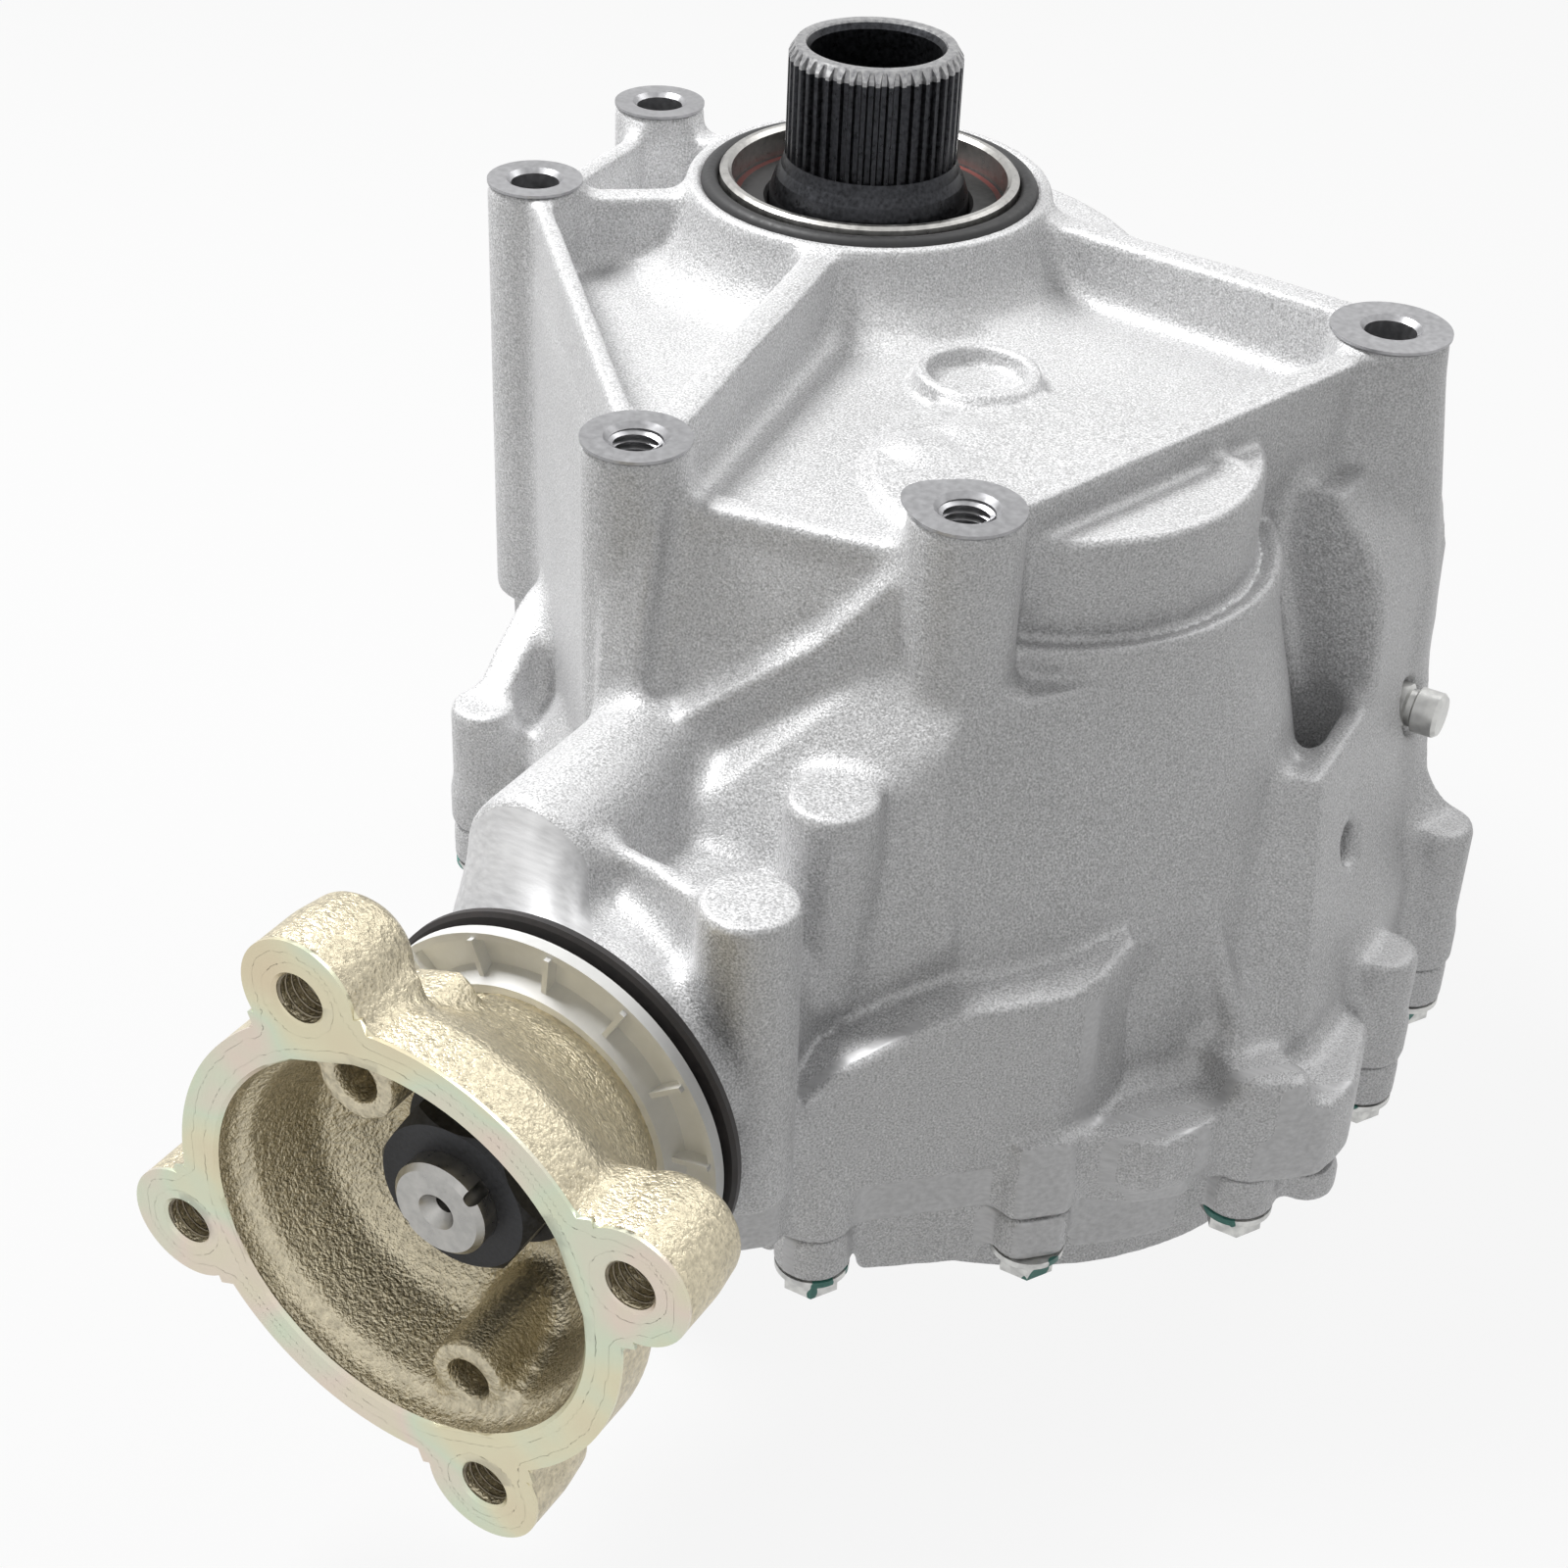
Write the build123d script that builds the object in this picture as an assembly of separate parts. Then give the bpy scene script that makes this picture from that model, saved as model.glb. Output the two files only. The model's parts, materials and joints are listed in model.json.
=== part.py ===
from build123d import *
import math
import os

import numpy as np

os.makedirs("parts", exist_ok=True)

# A transfer case for a car with a transverse engine. A hollow splined shaft takes the drive, a gear pair
# carries it to a second upright shaft, and a ring gear there turns the pinion of the propshaft flange.
# Millimetres. The origin is on the input axis in the mounting plane, +Z runs up the input shaft and
# the propshaft flange faces -Y.

# Fits
SEAT_GAP = 0.02
RUN_GAP = 0.06
LIP_GAP = 0.05

# Shaft axes
CENTRE_DISTANCE = 130.0
COUNTER_BEARING_DEG = -42.2
COUNTER_X = CENTRE_DISTANCE * math.cos(math.radians(COUNTER_BEARING_DEG))
COUNTER_Y = CENTRE_DISTANCE * math.sin(math.radians(COUNTER_BEARING_DEG))
PINION_X = 67.0
PINION_Z = -106.8

# Casting planes
DECK_Z = -22.0
DECK_THICK = 6.0
MARK_HIGH = 2.0
RING_HIGH = 3.0
WALL = 6.0
JOINT_Z = -160.0
COVER_FLANGE = 12.0
COVER_TAB = 6.0
BULGE_Z = -191.0
FOOT_Z = -212.0

# Mounting bosses in the plane z = 0: x, y, outer radius, and whether the hole is threaded
HUB_BOSSES = {
    "rear": (-73.7, 13.9, 12.3, False),
    "left": (-69.5, -52.0, 12.3, False),
    "front": (31.2, -159.2, 12.3, True),
    "middle": (104.9, -147.6, 12.5, True),
    "right": (146.9, -11.1, 14.0, False),
}
BOSS_BORE = 6.75
BOSS_TAP = 5.1
BOSS_CHAMFER = 0.9
TAP_DEPTH = 28.0

# Pilot round the input shaft
PAD_R = 47.5
RING_R = 44.3
RING_DEPTH = 4.2
ORING_WIRE = 2.3
COLLAR_R = 39.05
COLLAR_BORE = 36.0
COLLAR_TOP = 1.7
COLLAR_LENGTH = 18.0

# Cover bolts, in order round the joint
JOINT_BOLTS = [
    (104.0, -196.0),
    (143.0, -164.0),
    (178.5, -124.5),
    (188.0, -70.0),
    (185.0, -26.0),
    (142.0, 19.0),
    (92.0, 37.0),
    (46.0, 73.0),
    (-20.0, 84.0),
    (-72.0, 46.0),
    (-86.0, -14.0),
    (-49.6, -107.6),
    (-4.0, -152.0),
    (46.0, -192.0),
]
JOINT_BOSS_R = 9.5
JOINT_BOLT_R = 4.0
JOINT_FLANGE = 12.0
JOINT_BOSS_TOP = -138.0

# Gears
SPUR_MODULE = 4.0
INPUT_TEETH = 31
DRIVEN_TEETH = 34
SPUR_WIDTH = 20.0
SPUR_BACKLASH = 0.3
SPUR_Z = -164.0
RING_TEETH = 36
PINION_TEETH = 13
RING_OUTER = 70.0
RING_INNER = 50.0
MESH_RADIUS = 26.5
MESH_TAPER_DEG = 15.0
MESH_GAP = 0.4
RING_ADDENDUM = 3.4
RING_DEDENDUM = 4.8
PINION_ADDENDUM = 3.9
TOOTH_SHARE = 0.46
FLANK_DEG = 20.0
RING_BACK_Z = -151.5
RING_BORE = 36.0
RING_PLATE = 6.0
RING_BOLTS = 10
RING_BOLT_CIRCLE = 43.0
RING_BOLT_R = 4.0
RING_BOLT_DEPTH = 9.0
RING_ROOF_Z = -124.0
RING_CLEAR_R = 72.0

# Bearings: bore radius, outer radius, width, number of rollers
INPUT_BEARING = (26.0, 40.0, 16.0, 16)
COUNTER_BEARING = (20.0, 37.0, 17.0, 12)
HEAD_BEARING = (17.0, 33.0, 19.0, 12)
TAIL_BEARING = (14.5, 29.5, 17.0, 12)
INPUT_TOP_Z = -44.0
INPUT_CAP_Z = INPUT_TOP_Z + INPUT_BEARING[2]
INPUT_LOW_Z = -201.0
COUNTER_TOP_Z = -45.0
COUNTER_CAP_Z = COUNTER_TOP_Z + COUNTER_BEARING[2]
COUNTER_LOW_Z = -202.0
HEAD_S = 160.0
TAIL_S = 213.0

# Input shaft
SHAFT_BORE = 16.9
SPLINE_TEETH = 42
SPLINE_TIP = 22.33
SPLINE_ROOT = 21.15
SPLINE_TOP = 32.4
SHAFT_TOP = 35.1
SHAFT_TOP_R = 20.6
SHOULDER_R = INPUT_BEARING[0]
INPUT_GEAR_SEAT = 28.5
INPUT_SEAL_TOP = -6.0
HALFSHAFT_SEAL_R = 32.0
DRIVEN_GEAR_SEAT = 23.0

# Propshaft flange, measured outwards along the pinion axis from the input axis
FACE_S = 299.0
HOLE_CIRCLE = 57.15
HOLE_COUNT = 4
HOLE_START_DEG = 19.7
FLANGE_TAP = 5.4
EAR_R = 13.2
EAR_THICK = 23.0
FLANGE_RIM = 52.5
FLANGE_PILOT = 43.8
FLANGE_PILOT_DEPTH = 6.0
FLANGE_FLOOR_S = 263.0
SHAFT_END_S = 285.3
SHAFT_END_R = 10.9
FLANGE_BORE = 13.5
HUB_R = 24.0
LUG_CIRCLE = 35.5
LUG_R = 9.0
LUG_HOLE_R = 5.0
NUT_FLANGE_R = 21.0
NUT_FLATS = 34.0
NUT_HEIGHT = 17.0
MOUTH_S = 243.0
PATCH_END_S = 241.5
SEAL_S = 231.0
SEAL_R = 33.0
SEAL_RIM_R = 44.6
SHIELD_S = 246.5
SHIELD_R = 43.2
SHIELD_BORE = 31.0
SHIELD_RIBS = 14

# Casting forms
PLAIN_DEPTH = 40.0
SIDE_WALL_OUT = 3.0
BACK_OUTLINE = [(150.0, 8.0), (108.0, 16.0), (62.0, 30.0), (40.0, 64.0), (-50.0, 57.0)]
CHAMBER_R = 76.0
BULGE_R = 80.0
DOME_R = 46.0
LEDGE_R = 54.5
LEDGE_Z = -39.0
BELL_R = 77.0
JOINT_R = 88.0
TUBE_R = 38.5
TUBE_ROOT_R = 42.5
TUBE_WAIST_R = 33.0
TUBE_TAIL_R = 36.0
TUBE_START_S = 120.0
HEAD_CLEAR_R = 36.5
PLATE_OUT = 317.0
LEDGE_DEPTH = 6.5
SLOT_HIGH = 3.5
SKIRT_TOP = -118.0
SKIRT_IN = 24.0
BOSS_COLUMN = {"rear": -90.0, "left": -120.0, "front": -70.0, "middle": -42.0, "right": -120.0}
TALL_BOSS_R = 8.7
TALL_BOSSES = {2: -131.0, 3: -129.0, 4: -118.0, 11: -123.0}
NECK_X = 46.0
NECK_Z = -70.0
NECK_R = 16.5
NECK_END_S = 222.0
PILLARS = [(89.5, -169.9), (93.7, -212.2)]
PILLAR_R = 10.3
PILLAR_TOP = -64.8
TAB_WALL = 4.0

# Small fittings
BOLT_THREAD = 18.0
DOWEL_R = 6.0
DOWEL_LENGTH = 14.0
VENT_SEAT = (166.0, -20.0, -93.0)
VENT_R = 5.8
VENT_DEPTH = 9.0
SEAL_INSET = 1.5
LEVEL_HOLE = (170.0, -70.0, -104.0)
PLUG_Z = -120.0
PLUG_R = 9.0
PLUG_HEAD_R = 13.0
PLUG_DEPTH = 9.0
PLUG_STAND = 1.0


def turned(points):
    """A solid of revolution about Z from a closed outline of (radius, z) points."""
    edge = Polyline(*[(r, 0, z) for r, z in points], close=True)
    return revolve(make_face(edge), Axis.Z)


def disc(x, y, radius, low, high):
    """An upright cylinder between two heights."""
    return Pos(x, y, (low + high) / 2) * Cylinder(radius, high - low)


def prism(points, low, high):
    """An upright prism on a closed outline of (x, y) points."""
    face = make_face(Polyline(*[(x, y, low) for x, y in points], close=True))
    return extrude(face, high - low, dir=(0, 0, 1))


def around(piece, count, radius, start_deg=0.0):
    """Copies of a piece spaced evenly on a circle about Z."""
    return [Rot(0, 0, start_deg + 360.0 * i / count) * Pos(radius, 0, 0) * piece for i in range(count)]


def web(start, end, width, tops, bottom):
    """An upright wall between two plan points. Its top edge runs through (share of length, z) points."""
    run = Vector(*end) - Vector(*start)
    plane = Plane(origin=(start[0], start[1], 0), x_dir=(run.X, run.Y, 0), z_dir=(run.Y, -run.X, 0))
    outline = [(0, bottom)] + [(share * run.length, top) for share, top in tops] + [(run.length, bottom)]
    face = make_face(Polyline(*[plane.from_local_coords((u, v, 0)) for u, v in outline], close=True))
    return extrude(face, width / 2, both=True, dir=plane.z_dir)


def belt(start, end, radius, low, high):
    """Two upright cylinders joined by a straight wall of the same thickness."""
    wall = web(start, end, 2 * radius, [(0, high), (1, high)], low)
    return wall + disc(*start, radius, low, high) + disc(*end, radius, low, high)


def outwards(piece):
    """Turn a piece made about Z so that its +Z points along the pinion axis to the flange."""
    return Pos(PINION_X, 0, PINION_Z) * Rot(90, 0, 0) * piece


def at_counter(piece):
    return Pos(COUNTER_X, COUNTER_Y, 0) * piece


def bearing(bore, outer, width, count, low, big_end_up):
    """Cup, cone and rollers of a taper roller bearing about Z, from low to low + width."""
    lean = math.radians(15)
    mean = (bore + outer) / 2
    swell = math.asin(0.23 * (outer - bore) * math.sin(lean) / mean)
    apex = mean / math.tan(lean) - width / 2

    def race(z, angle):
        return (z + apex) * math.tan(angle)

    cup = turned([(outer - SEAT_GAP, 0), (outer - SEAT_GAP, width), (race(width, lean + swell), width),
                  (race(0, lean + swell), 0)])
    cone = turned([(bore + SEAT_GAP, 0), (race(0, lean - swell), 0), (race(width, lean - swell), width),
                   (bore + SEAT_GAP, width)])
    along = Vector(math.sin(lean), 0, math.cos(lean))
    near = (0.1 * width + apex) / math.cos(lean)
    far = (0.9 * width + apex) / math.cos(lean)
    start = Plane(origin=Vector(0, 0, -apex) + along * near, z_dir=along)
    roller = Solid.make_cone(near * math.tan(swell) - RUN_GAP, far * math.tan(swell) - RUN_GAP, far - near, start)
    rollers = Compound(around(roller, count, 0))
    if big_end_up:
        place = Pos(0, 0, low)
    else:
        place = Pos(0, 0, low + width) * Rot(180, 0, 0)
    return place * cup, place * cone, place * rollers


def involute_outline(teeth, module, backlash):
    """Outline of an involute gear with a tooth centred on +X."""
    pressure = math.radians(20)
    pitch = module * teeth / 2
    base = pitch * math.cos(pressure)
    tip = pitch + module
    root = pitch - 1.25 * module
    half = math.pi / (2 * teeth) - backlash / (4 * pitch) + math.tan(pressure) - pressure

    def flank(radius):
        roll = math.acos(min(1.0, base / radius))
        return half - (math.tan(roll) - roll)

    stations = [root] + [base + (tip - base) * k / 3 for k in range(4)]
    angles = [flank(max(radius, base)) for radius in stations]
    points = []
    for i in range(teeth):
        centre = 2 * math.pi * i / teeth
        rising = [(r, centre - a) for r, a in zip(stations, angles)]
        falling = [(r, centre + a) for r, a in zip(reversed(stations), reversed(angles))]
        points += [(r * math.cos(a), r * math.sin(a)) for r, a in rising + falling]
    return points


def spur_gear(teeth, bore, web_thick, low, turn_deg):
    """A gear blank with recessed faces and involute teeth."""
    pitch = SPUR_MODULE * teeth / 2
    rim = pitch - 2.25 * SPUR_MODULE - 3
    hub = bore + 9
    gear = prism(involute_outline(teeth, SPUR_MODULE, SPUR_BACKLASH), low, low + SPUR_WIDTH)
    recess = (SPUR_WIDTH - web_thick) / 2
    for z in (low, low + SPUR_WIDTH - recess):
        gear -= disc(0, 0, rim, z, z + recess) - disc(0, 0, hub, z, z + recess)
    gear -= disc(0, 0, bore, low, low + SPUR_WIDTH)
    return Rot(0, 0, turn_deg) * gear


def hypoid_offset():
    return PINION_X - COUNTER_X


def mesh_s(radius):
    """Distance out along the pinion axis where a circle of the ring gear passes under that axis."""
    return -COUNTER_Y + math.sqrt(radius ** 2 - hypoid_offset() ** 2)


def pinion_pitch(s):
    """Pitch radius of the pinion at a distance along its axis."""
    middle = mesh_s((RING_OUTER + RING_INNER) / 2)
    return MESH_RADIUS + (s - middle) * math.tan(math.radians(MESH_TAPER_DEG))




def ring_tooth_section(radius):
    """Corners of a ring tooth across its length: half widths and heights at one radius of the ring."""
    pitch_z = PINION_Z - pinion_pitch(mesh_s(radius))
    size = radius / RING_OUTER
    half = TOOTH_SHARE * math.pi * radius / RING_TEETH
    slope = math.tan(math.radians(FLANK_DEG))
    top = pitch_z + RING_ADDENDUM * size
    foot = pitch_z - RING_DEDENDUM * size
    narrow = half - RING_ADDENDUM * size * slope
    wide = half + RING_DEDENDUM * size * slope
    return [(radius, -wide, foot), (radius, -narrow, top), (radius, narrow, top), (radius, wide, foot)]


def rolled_reach(s):
    """How far out the pinion may reach at one distance along its axis, against angle over one tooth.

    The ring gear's teeth are rolled past the section in small steps. Along each direction from the pinion's
    axis the nearest point that any tooth ever comes to is kept.
    """
    near = np.array(ring_tooth_section(RING_INNER))
    far = np.array(ring_tooth_section(RING_OUTER))
    fine, steps = 72, 90
    angles = np.arange(fine * PINION_TEETH) * 2 * math.pi / PINION_TEETH / fine
    reach = np.full(fine, RING_OUTER)
    for step in range(steps):
        ring_turn = 2 * math.pi / RING_TEETH * step / steps
        pinion_turn = ring_turn * RING_TEETH / PINION_TEETH
        rays = np.stack([np.cos(angles + pinion_turn), np.sin(angles + pinion_turn)], 1)
        for tooth in range(RING_TEETH):
            turn = ring_turn + 2 * math.pi * tooth / RING_TEETH
            spin = np.array([[math.cos(turn), -math.sin(turn), 0], [math.sin(turn), math.cos(turn), 0], [0, 0, 1]])
            inner = near @ spin.T + [COUNTER_X, COUNTER_Y, 0]
            outer = far @ spin.T + [COUNTER_X, COUNTER_Y, 0]
            rise = outer[:, 1] - inner[:, 1]
            if abs(rise).min() < 5:
                continue
            share = (-s - inner[:, 1]) / rise
            if share.min() < -0.3 or share.max() > 1.3:
                continue
            cut = inner + (outer - inner) * share[:, None]
            corners = np.stack([cut[:, 0] - PINION_X, cut[:, 2] - PINION_Z], 1)
            for i in range(4):
                start = corners[i]
                edge = corners[(i + 1) % 4] - start
                cross = rays[:, 0] * edge[1] - rays[:, 1] * edge[0]
                cross = np.where(abs(cross) < 1e-9, 1e-9, cross)
                distance = (start[0] * edge[1] - start[1] * edge[0]) / cross
                along = (start[0] * rays[:, 1] - start[1] * rays[:, 0]) / cross
                met = np.where((along >= 0) & (along <= 1) & (distance > 0), distance, RING_OUTER)
                reach = np.minimum(reach, met.reshape(PINION_TEETH, fine).min(0))
    return reach


def eased(shares, radii, room, start):
    """Lower the corners of a tooth outline until its straight sides keep within the room given."""
    pitch = 2 * math.pi / PINION_TEETH
    count, fine = len(shares), len(room)
    lowered = list(radii)
    for k in range(count):
        after = (k + 1) % count
        end = shares[after] + (1 if after == 0 else 0)
        first = radii[k] * np.array([math.cos(pitch * shares[k]), math.sin(pitch * shares[k])])
        last = radii[after] * np.array([math.cos(pitch * end), math.sin(pitch * end)])
        for place in range(math.ceil((start + shares[k]) * fine), math.ceil((start + end) * fine)):
            angle = pitch * (place / fine - start)
            ray = np.array([math.cos(angle), math.sin(angle)])
            side = last - first
            reach = (first[0] * side[1] - first[1] * side[0]) / (ray[0] * side[1] - ray[1] * side[0])
            excess = reach - room[place % fine]
            if excess > 0:
                lowered[k] = min(lowered[k], radii[k] - excess)
                lowered[after] = min(lowered[after], radii[after] - excess)
    return lowered


def pinion_section(s, last_phase):
    """Closed outline of the pinion at one distance along its axis, and the phase of its teeth.

    The phase is followed from section to section, so that the same corner of each outline stays on the same
    tooth while the teeth wind round the pinion.
    """
    fine_reach = rolled_reach(s)
    fine = len(fine_reach)
    pitch = 2 * math.pi / PINION_TEETH
    wave = np.sum(fine_reach * np.exp(2j * math.pi * np.arange(fine) / fine))
    phase = float(np.angle(wave)) / (2 * math.pi) * pitch
    phase += pitch * round((last_phase - phase) / pitch)
    size = pinion_pitch(s) / MESH_RADIUS
    tip = pinion_pitch(s) + PINION_ADDENDUM * size
    shares = [-0.5, -0.42, -0.34, -0.26, -0.18, -0.1, 0.1, 0.18, 0.26, 0.34, 0.42]
    room = np.minimum(tip, fine_reach - MESH_GAP)
    radii = [min(room[(math.floor((phase / pitch + share) * fine) + k) % fine] for k in (0, 1)) for share in shares]
    for trial in range(3):
        radii = eased(shares, radii, room, phase / pitch)
    points = []
    for tooth in range(PINION_TEETH):
        for share, radius in zip(shares, radii):
            angle = phase + pitch * (tooth + share)
            points.append((radius * math.cos(angle), radius * math.sin(angle)))
    return points, phase


def hypoid_pinion_head():
    """The pinion's teeth, lofted through sections rolled against the ring gear, in place."""
    start = mesh_s(RING_INNER) - 1
    finish = mesh_s(RING_OUTER) + 1
    count = 11
    phase = 0.0
    wires = []
    for k in range(count):
        s = start + (finish - start) * k / (count - 1)
        points, phase = pinion_section(s, phase)
        wires.append(Polyline(*[(PINION_X + u, -s, PINION_Z + v) for u, v in points], close=True).wire())
    return Solid.make_loft(wires, ruled=True)


def ring_gear():
    """Ring gear with tapered radial teeth on a coned face, bored for its pilot and drilled for its bolts."""
    inner = ring_tooth_section(RING_INNER)
    outer = ring_tooth_section(RING_OUTER)
    root = turned([(RING_BORE, RING_BACK_Z), (RING_OUTER, RING_BACK_Z), (RING_OUTER, outer[0][2]),
                   (RING_INNER, inner[0][2]), (RING_BORE, inner[0][2])])
    sink = 0.5
    ends = []
    for corners in (inner, outer):
        low = [(x, y, z - sink) if k in (0, 3) else (x, y, z) for k, (x, y, z) in enumerate(corners)]
        ends.append(Polyline(*low, close=True).wire())
    tooth = Solid.make_loft(ends, ruled=True)
    gear = root.fuse(*around(tooth, RING_TEETH, 0))
    for hole in around(disc(0, 0, RING_BOLT_R, RING_BACK_Z, RING_BACK_Z + RING_BOLT_DEPTH), RING_BOLTS,
                       RING_BOLT_CIRCLE):
        gear -= hole
    return at_counter(gear)


def boss_points():
    return {name: (x, y) for name, (x, y, r, tapped) in HUB_BOSSES.items()}


def bell(grow):
    """The bell round the second shaft. It widens from the bearing dome down to the ring gear."""
    profile = [(DOME_R, DECK_Z - 4), (DOME_R, LEDGE_Z), (LEDGE_R, LEDGE_Z - 2), (57, -54), (61, -70), (66, -92),
               (71, -112), (75.5, -132), (BELL_R, -150), (BELL_R, JOINT_Z)]
    profile = [(r + grow, z) for r, z in profile]
    crown = [(0, DECK_Z + 2), (DOME_R - 6 + grow, DECK_Z + 2)]
    return at_counter(turned(crown + profile + [(0, JOINT_Z)]))


def body_outline():
    """Plan outline of the walls under the mounting face."""
    spots = boss_points()
    left, front = Vector(*spots["left"]), Vector(*spots["front"])
    middle, right = Vector(*spots["middle"]), Vector(*spots["right"])
    slant = (front - left).normalized()
    out = Vector(slant.Y, -slant.X) * SIDE_WALL_OUT
    edge = (right - middle).normalized()
    side = Vector(edge.Y, -edge.X) * SIDE_WALL_OUT
    back_x = spots["rear"][0] - SIDE_WALL_OUT
    ledge = (middle - front).normalized()
    under = Vector(ledge.Y, -ledge.X) * SIDE_WALL_OUT
    corners = [Vector(back_x, spots["rear"][1]), Vector(back_x, left.Y), left + out, front + out,
               front + under, middle + under, middle + side, right + side]
    return [(c.X, c.Y) for c in corners] + BACK_OUTLINE


def inset(points, amount):
    """A closed outline moved inwards by one distance."""
    face = make_face(Polyline(*[(x, y, 0) for x, y in points], close=True))
    return offset(face, -amount, kind=Kind.INTERSECTION)


def raised(face, low, high):
    return extrude(Pos(0, 0, low) * face, high - low, dir=(0, 0, 1))


def pilot_pad():
    """The round pad of the pilot, coved into the deck."""
    low = DECK_Z - DECK_THICK
    pad = turned([(0, low), (64, low), (64, DECK_Z), (56, DECK_Z + 3), (51, DECK_Z + 9), (48.5, -6), (PAD_R, 0), (0, 0)])
    return pad & raised(make_face(Polyline(*[(x, y, 0) for x, y in body_outline()], close=True)) + Circle(PAD_R), low, 0)


def joint_face(grow=0.0):
    """Plan outline of the joint between housing and cover, scalloped round its bolts."""
    face = make_face(Polyline(*[(x, y, 0) for x, y in JOINT_BOLTS], close=True))
    for x, y in JOINT_BOLTS:
        face += Pos(x, y, 0) * Circle(JOINT_BOSS_R + grow)
    face += Pos(COUNTER_X, COUNTER_Y, 0) * Circle(JOINT_R + grow)
    face += Circle(CHAMBER_R + grow)
    return face


def cavity_face(grow=0.0):
    """Plan outline of the gear space at the joint."""
    return Circle(CHAMBER_R - WALL + grow) + Pos(COUNTER_X, COUNTER_Y, 0) * Circle(RING_CLEAR_R + grow)


def skirt():
    """The flared lower wall that carries the joint flange."""
    middle = Vector(45, -60)
    low, high = [], []
    for x, y in JOINT_BOLTS:
        spoke = Vector(x, y) - middle
        low.append((middle + spoke * ((spoke.length - 2) / spoke.length)))
        high.append((middle + spoke * ((spoke.length - SKIRT_IN) / spoke.length)))
    wires = [Polyline(*[(p.X, p.Y, z) for p in ring], close=True).wire()
             for ring, z in ((low, JOINT_Z + JOINT_FLANGE), (high, SKIRT_TOP))]
    return Solid.make_loft(wires, ruled=True)


def deck_ribs():
    """Walls that stand on the deck between the mounting bosses and the pilot."""
    spots = boss_points()
    low = DECK_Z - DECK_THICK
    ribs = [
        web(spots["left"], spots["front"], 5, [(0, -2), (1, -2)], low),
        web((12, -44), spots["front"], 9, [(0, -2), (0.8, -4), (1, -3)], low),
        web(spots["front"], spots["middle"], 8, [(0, -3), (0.2, -11), (0.8, -11), (1, -3)], low),
        web(spots["middle"], spots["right"], 8, [(0, -3), (1, -3)], low),
        web((36, 14), (138, 0), 9, [(0, -3), (0.2, -4), (1, -3)], low),
        web(spots["rear"], spots["left"], 6, [(0, -6), (1, -6)], low),
        web(spots["left"], (-38, -28), 8, [(0, -4), (1, -4)], low),
        web(spots["rear"], (-40, 12), 9, [(0, -7), (1, -5)], low),
    ]
    return ribs


def deck_marks():
    """Low cast forms on the pocket floor: a ring, a raised circle over the countershaft and a hump."""
    low = DECK_Z - DECK_THICK
    top = DECK_Z + MARK_HIGH
    ring = disc(56, -45, 15, low, top + RING_HIGH) - disc(56, -45, 11, DECK_Z, top + RING_HIGH)
    circle = disc(COUNTER_X, COUNTER_Y, 43.5, low, top)
    circle &= prism([(14, -44), (32, -157), (104, -146), (144, -14), (36, 12)], low, top)
    hump = Pos(67, -82, 0) * turned([(0, low), (8, low), (8, top), (6.5, top + 1.5), (4, top + 2.2), (2, top + 2.4),
                                   (0, top + 2.4)])
    return [circle - disc(56, -45, 11, DECK_Z, top), ring, hump]


def tube():
    """The pinion's bearing tube, from inside the bell out to its mouth."""
    head_end = HEAD_S + HEAD_BEARING[2] + 2
    shape = turned([(0, TUBE_START_S), (TUBE_ROOT_R, TUBE_START_S), (TUBE_ROOT_R, HEAD_S - 8), (TUBE_R, HEAD_S),
                    (TUBE_R, head_end), (TUBE_WAIST_R, head_end + 6), (TUBE_WAIST_R, TAIL_S - 8),
                    (TUBE_TAIL_R, TAIL_S - 2), (TUBE_TAIL_R, MOUTH_S - 14), (TUBE_R, MOUTH_S - 10),
                    (TUBE_R, MOUTH_S - 1), (TUBE_R - 1, MOUTH_S), (0, MOUTH_S)])
    return outwards(shape)


def saddle():
    """The swelling below the middle boss that runs down to the milled plate."""
    top = [(88, -146), (97, -154), (104, -160.5), (113, -160), (128, -139), (141, -118), (100, -100)]
    foot = [(74, -168), (92, -172), (108, -182), (128, -169), (142, -152), (158, -117), (100, -100)]
    form = hull_between([(x, y, -42) for x, y in top], [(x, y, -102) for x, y in foot])
    apron_top = [(58, -166), (86, -148), (88, -120), (58, -120)]
    apron_foot = [(56, -182), (88, -166), (92, -120), (56, -120)]
    apron = hull_between([(x, y, -50) for x, y in apron_top], [(x, y, -102) for x, y in apron_foot])
    return form + prism(foot, -128, -102) + apron


def hull_between(near, far):
    """A solid between two closed outlines with the same number of corners."""
    wires = [Polyline(*outline, close=True).wire() for outline in (near, far)]
    return Solid.make_loft(wires, ruled=True)


def neck():
    """The rounded ridge on the pinion tube. Its end is milled flat."""
    low, high = -NECK_END_S, -TUBE_START_S - 44
    ridge = Pos(NECK_X, (low + high) / 2, NECK_Z) * Rot(90, 0, 0) * Cylinder(NECK_R, high - low)
    near, far = [], []
    for angle, x in zip((-12, 20, 50, 85, 120, 155, 190), (75.5, 68, 61, 54, 47, 41, 36)):
        turn = math.radians(angle)
        near.append((NECK_X + NECK_R * math.cos(turn), low + 1, NECK_Z + NECK_R * math.sin(turn)))
        far.append((x, -PATCH_END_S, PINION_Z + math.sqrt((TUBE_R - 0.4) ** 2 - (x - PINION_X) ** 2)))
    near += [(34, low + 1, -92), (64, low + 1, -92)]
    far += [(38, -PATCH_END_S, -94), (72, -PATCH_END_S, -94)]
    return ridge + hull_between(near, far)


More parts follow.
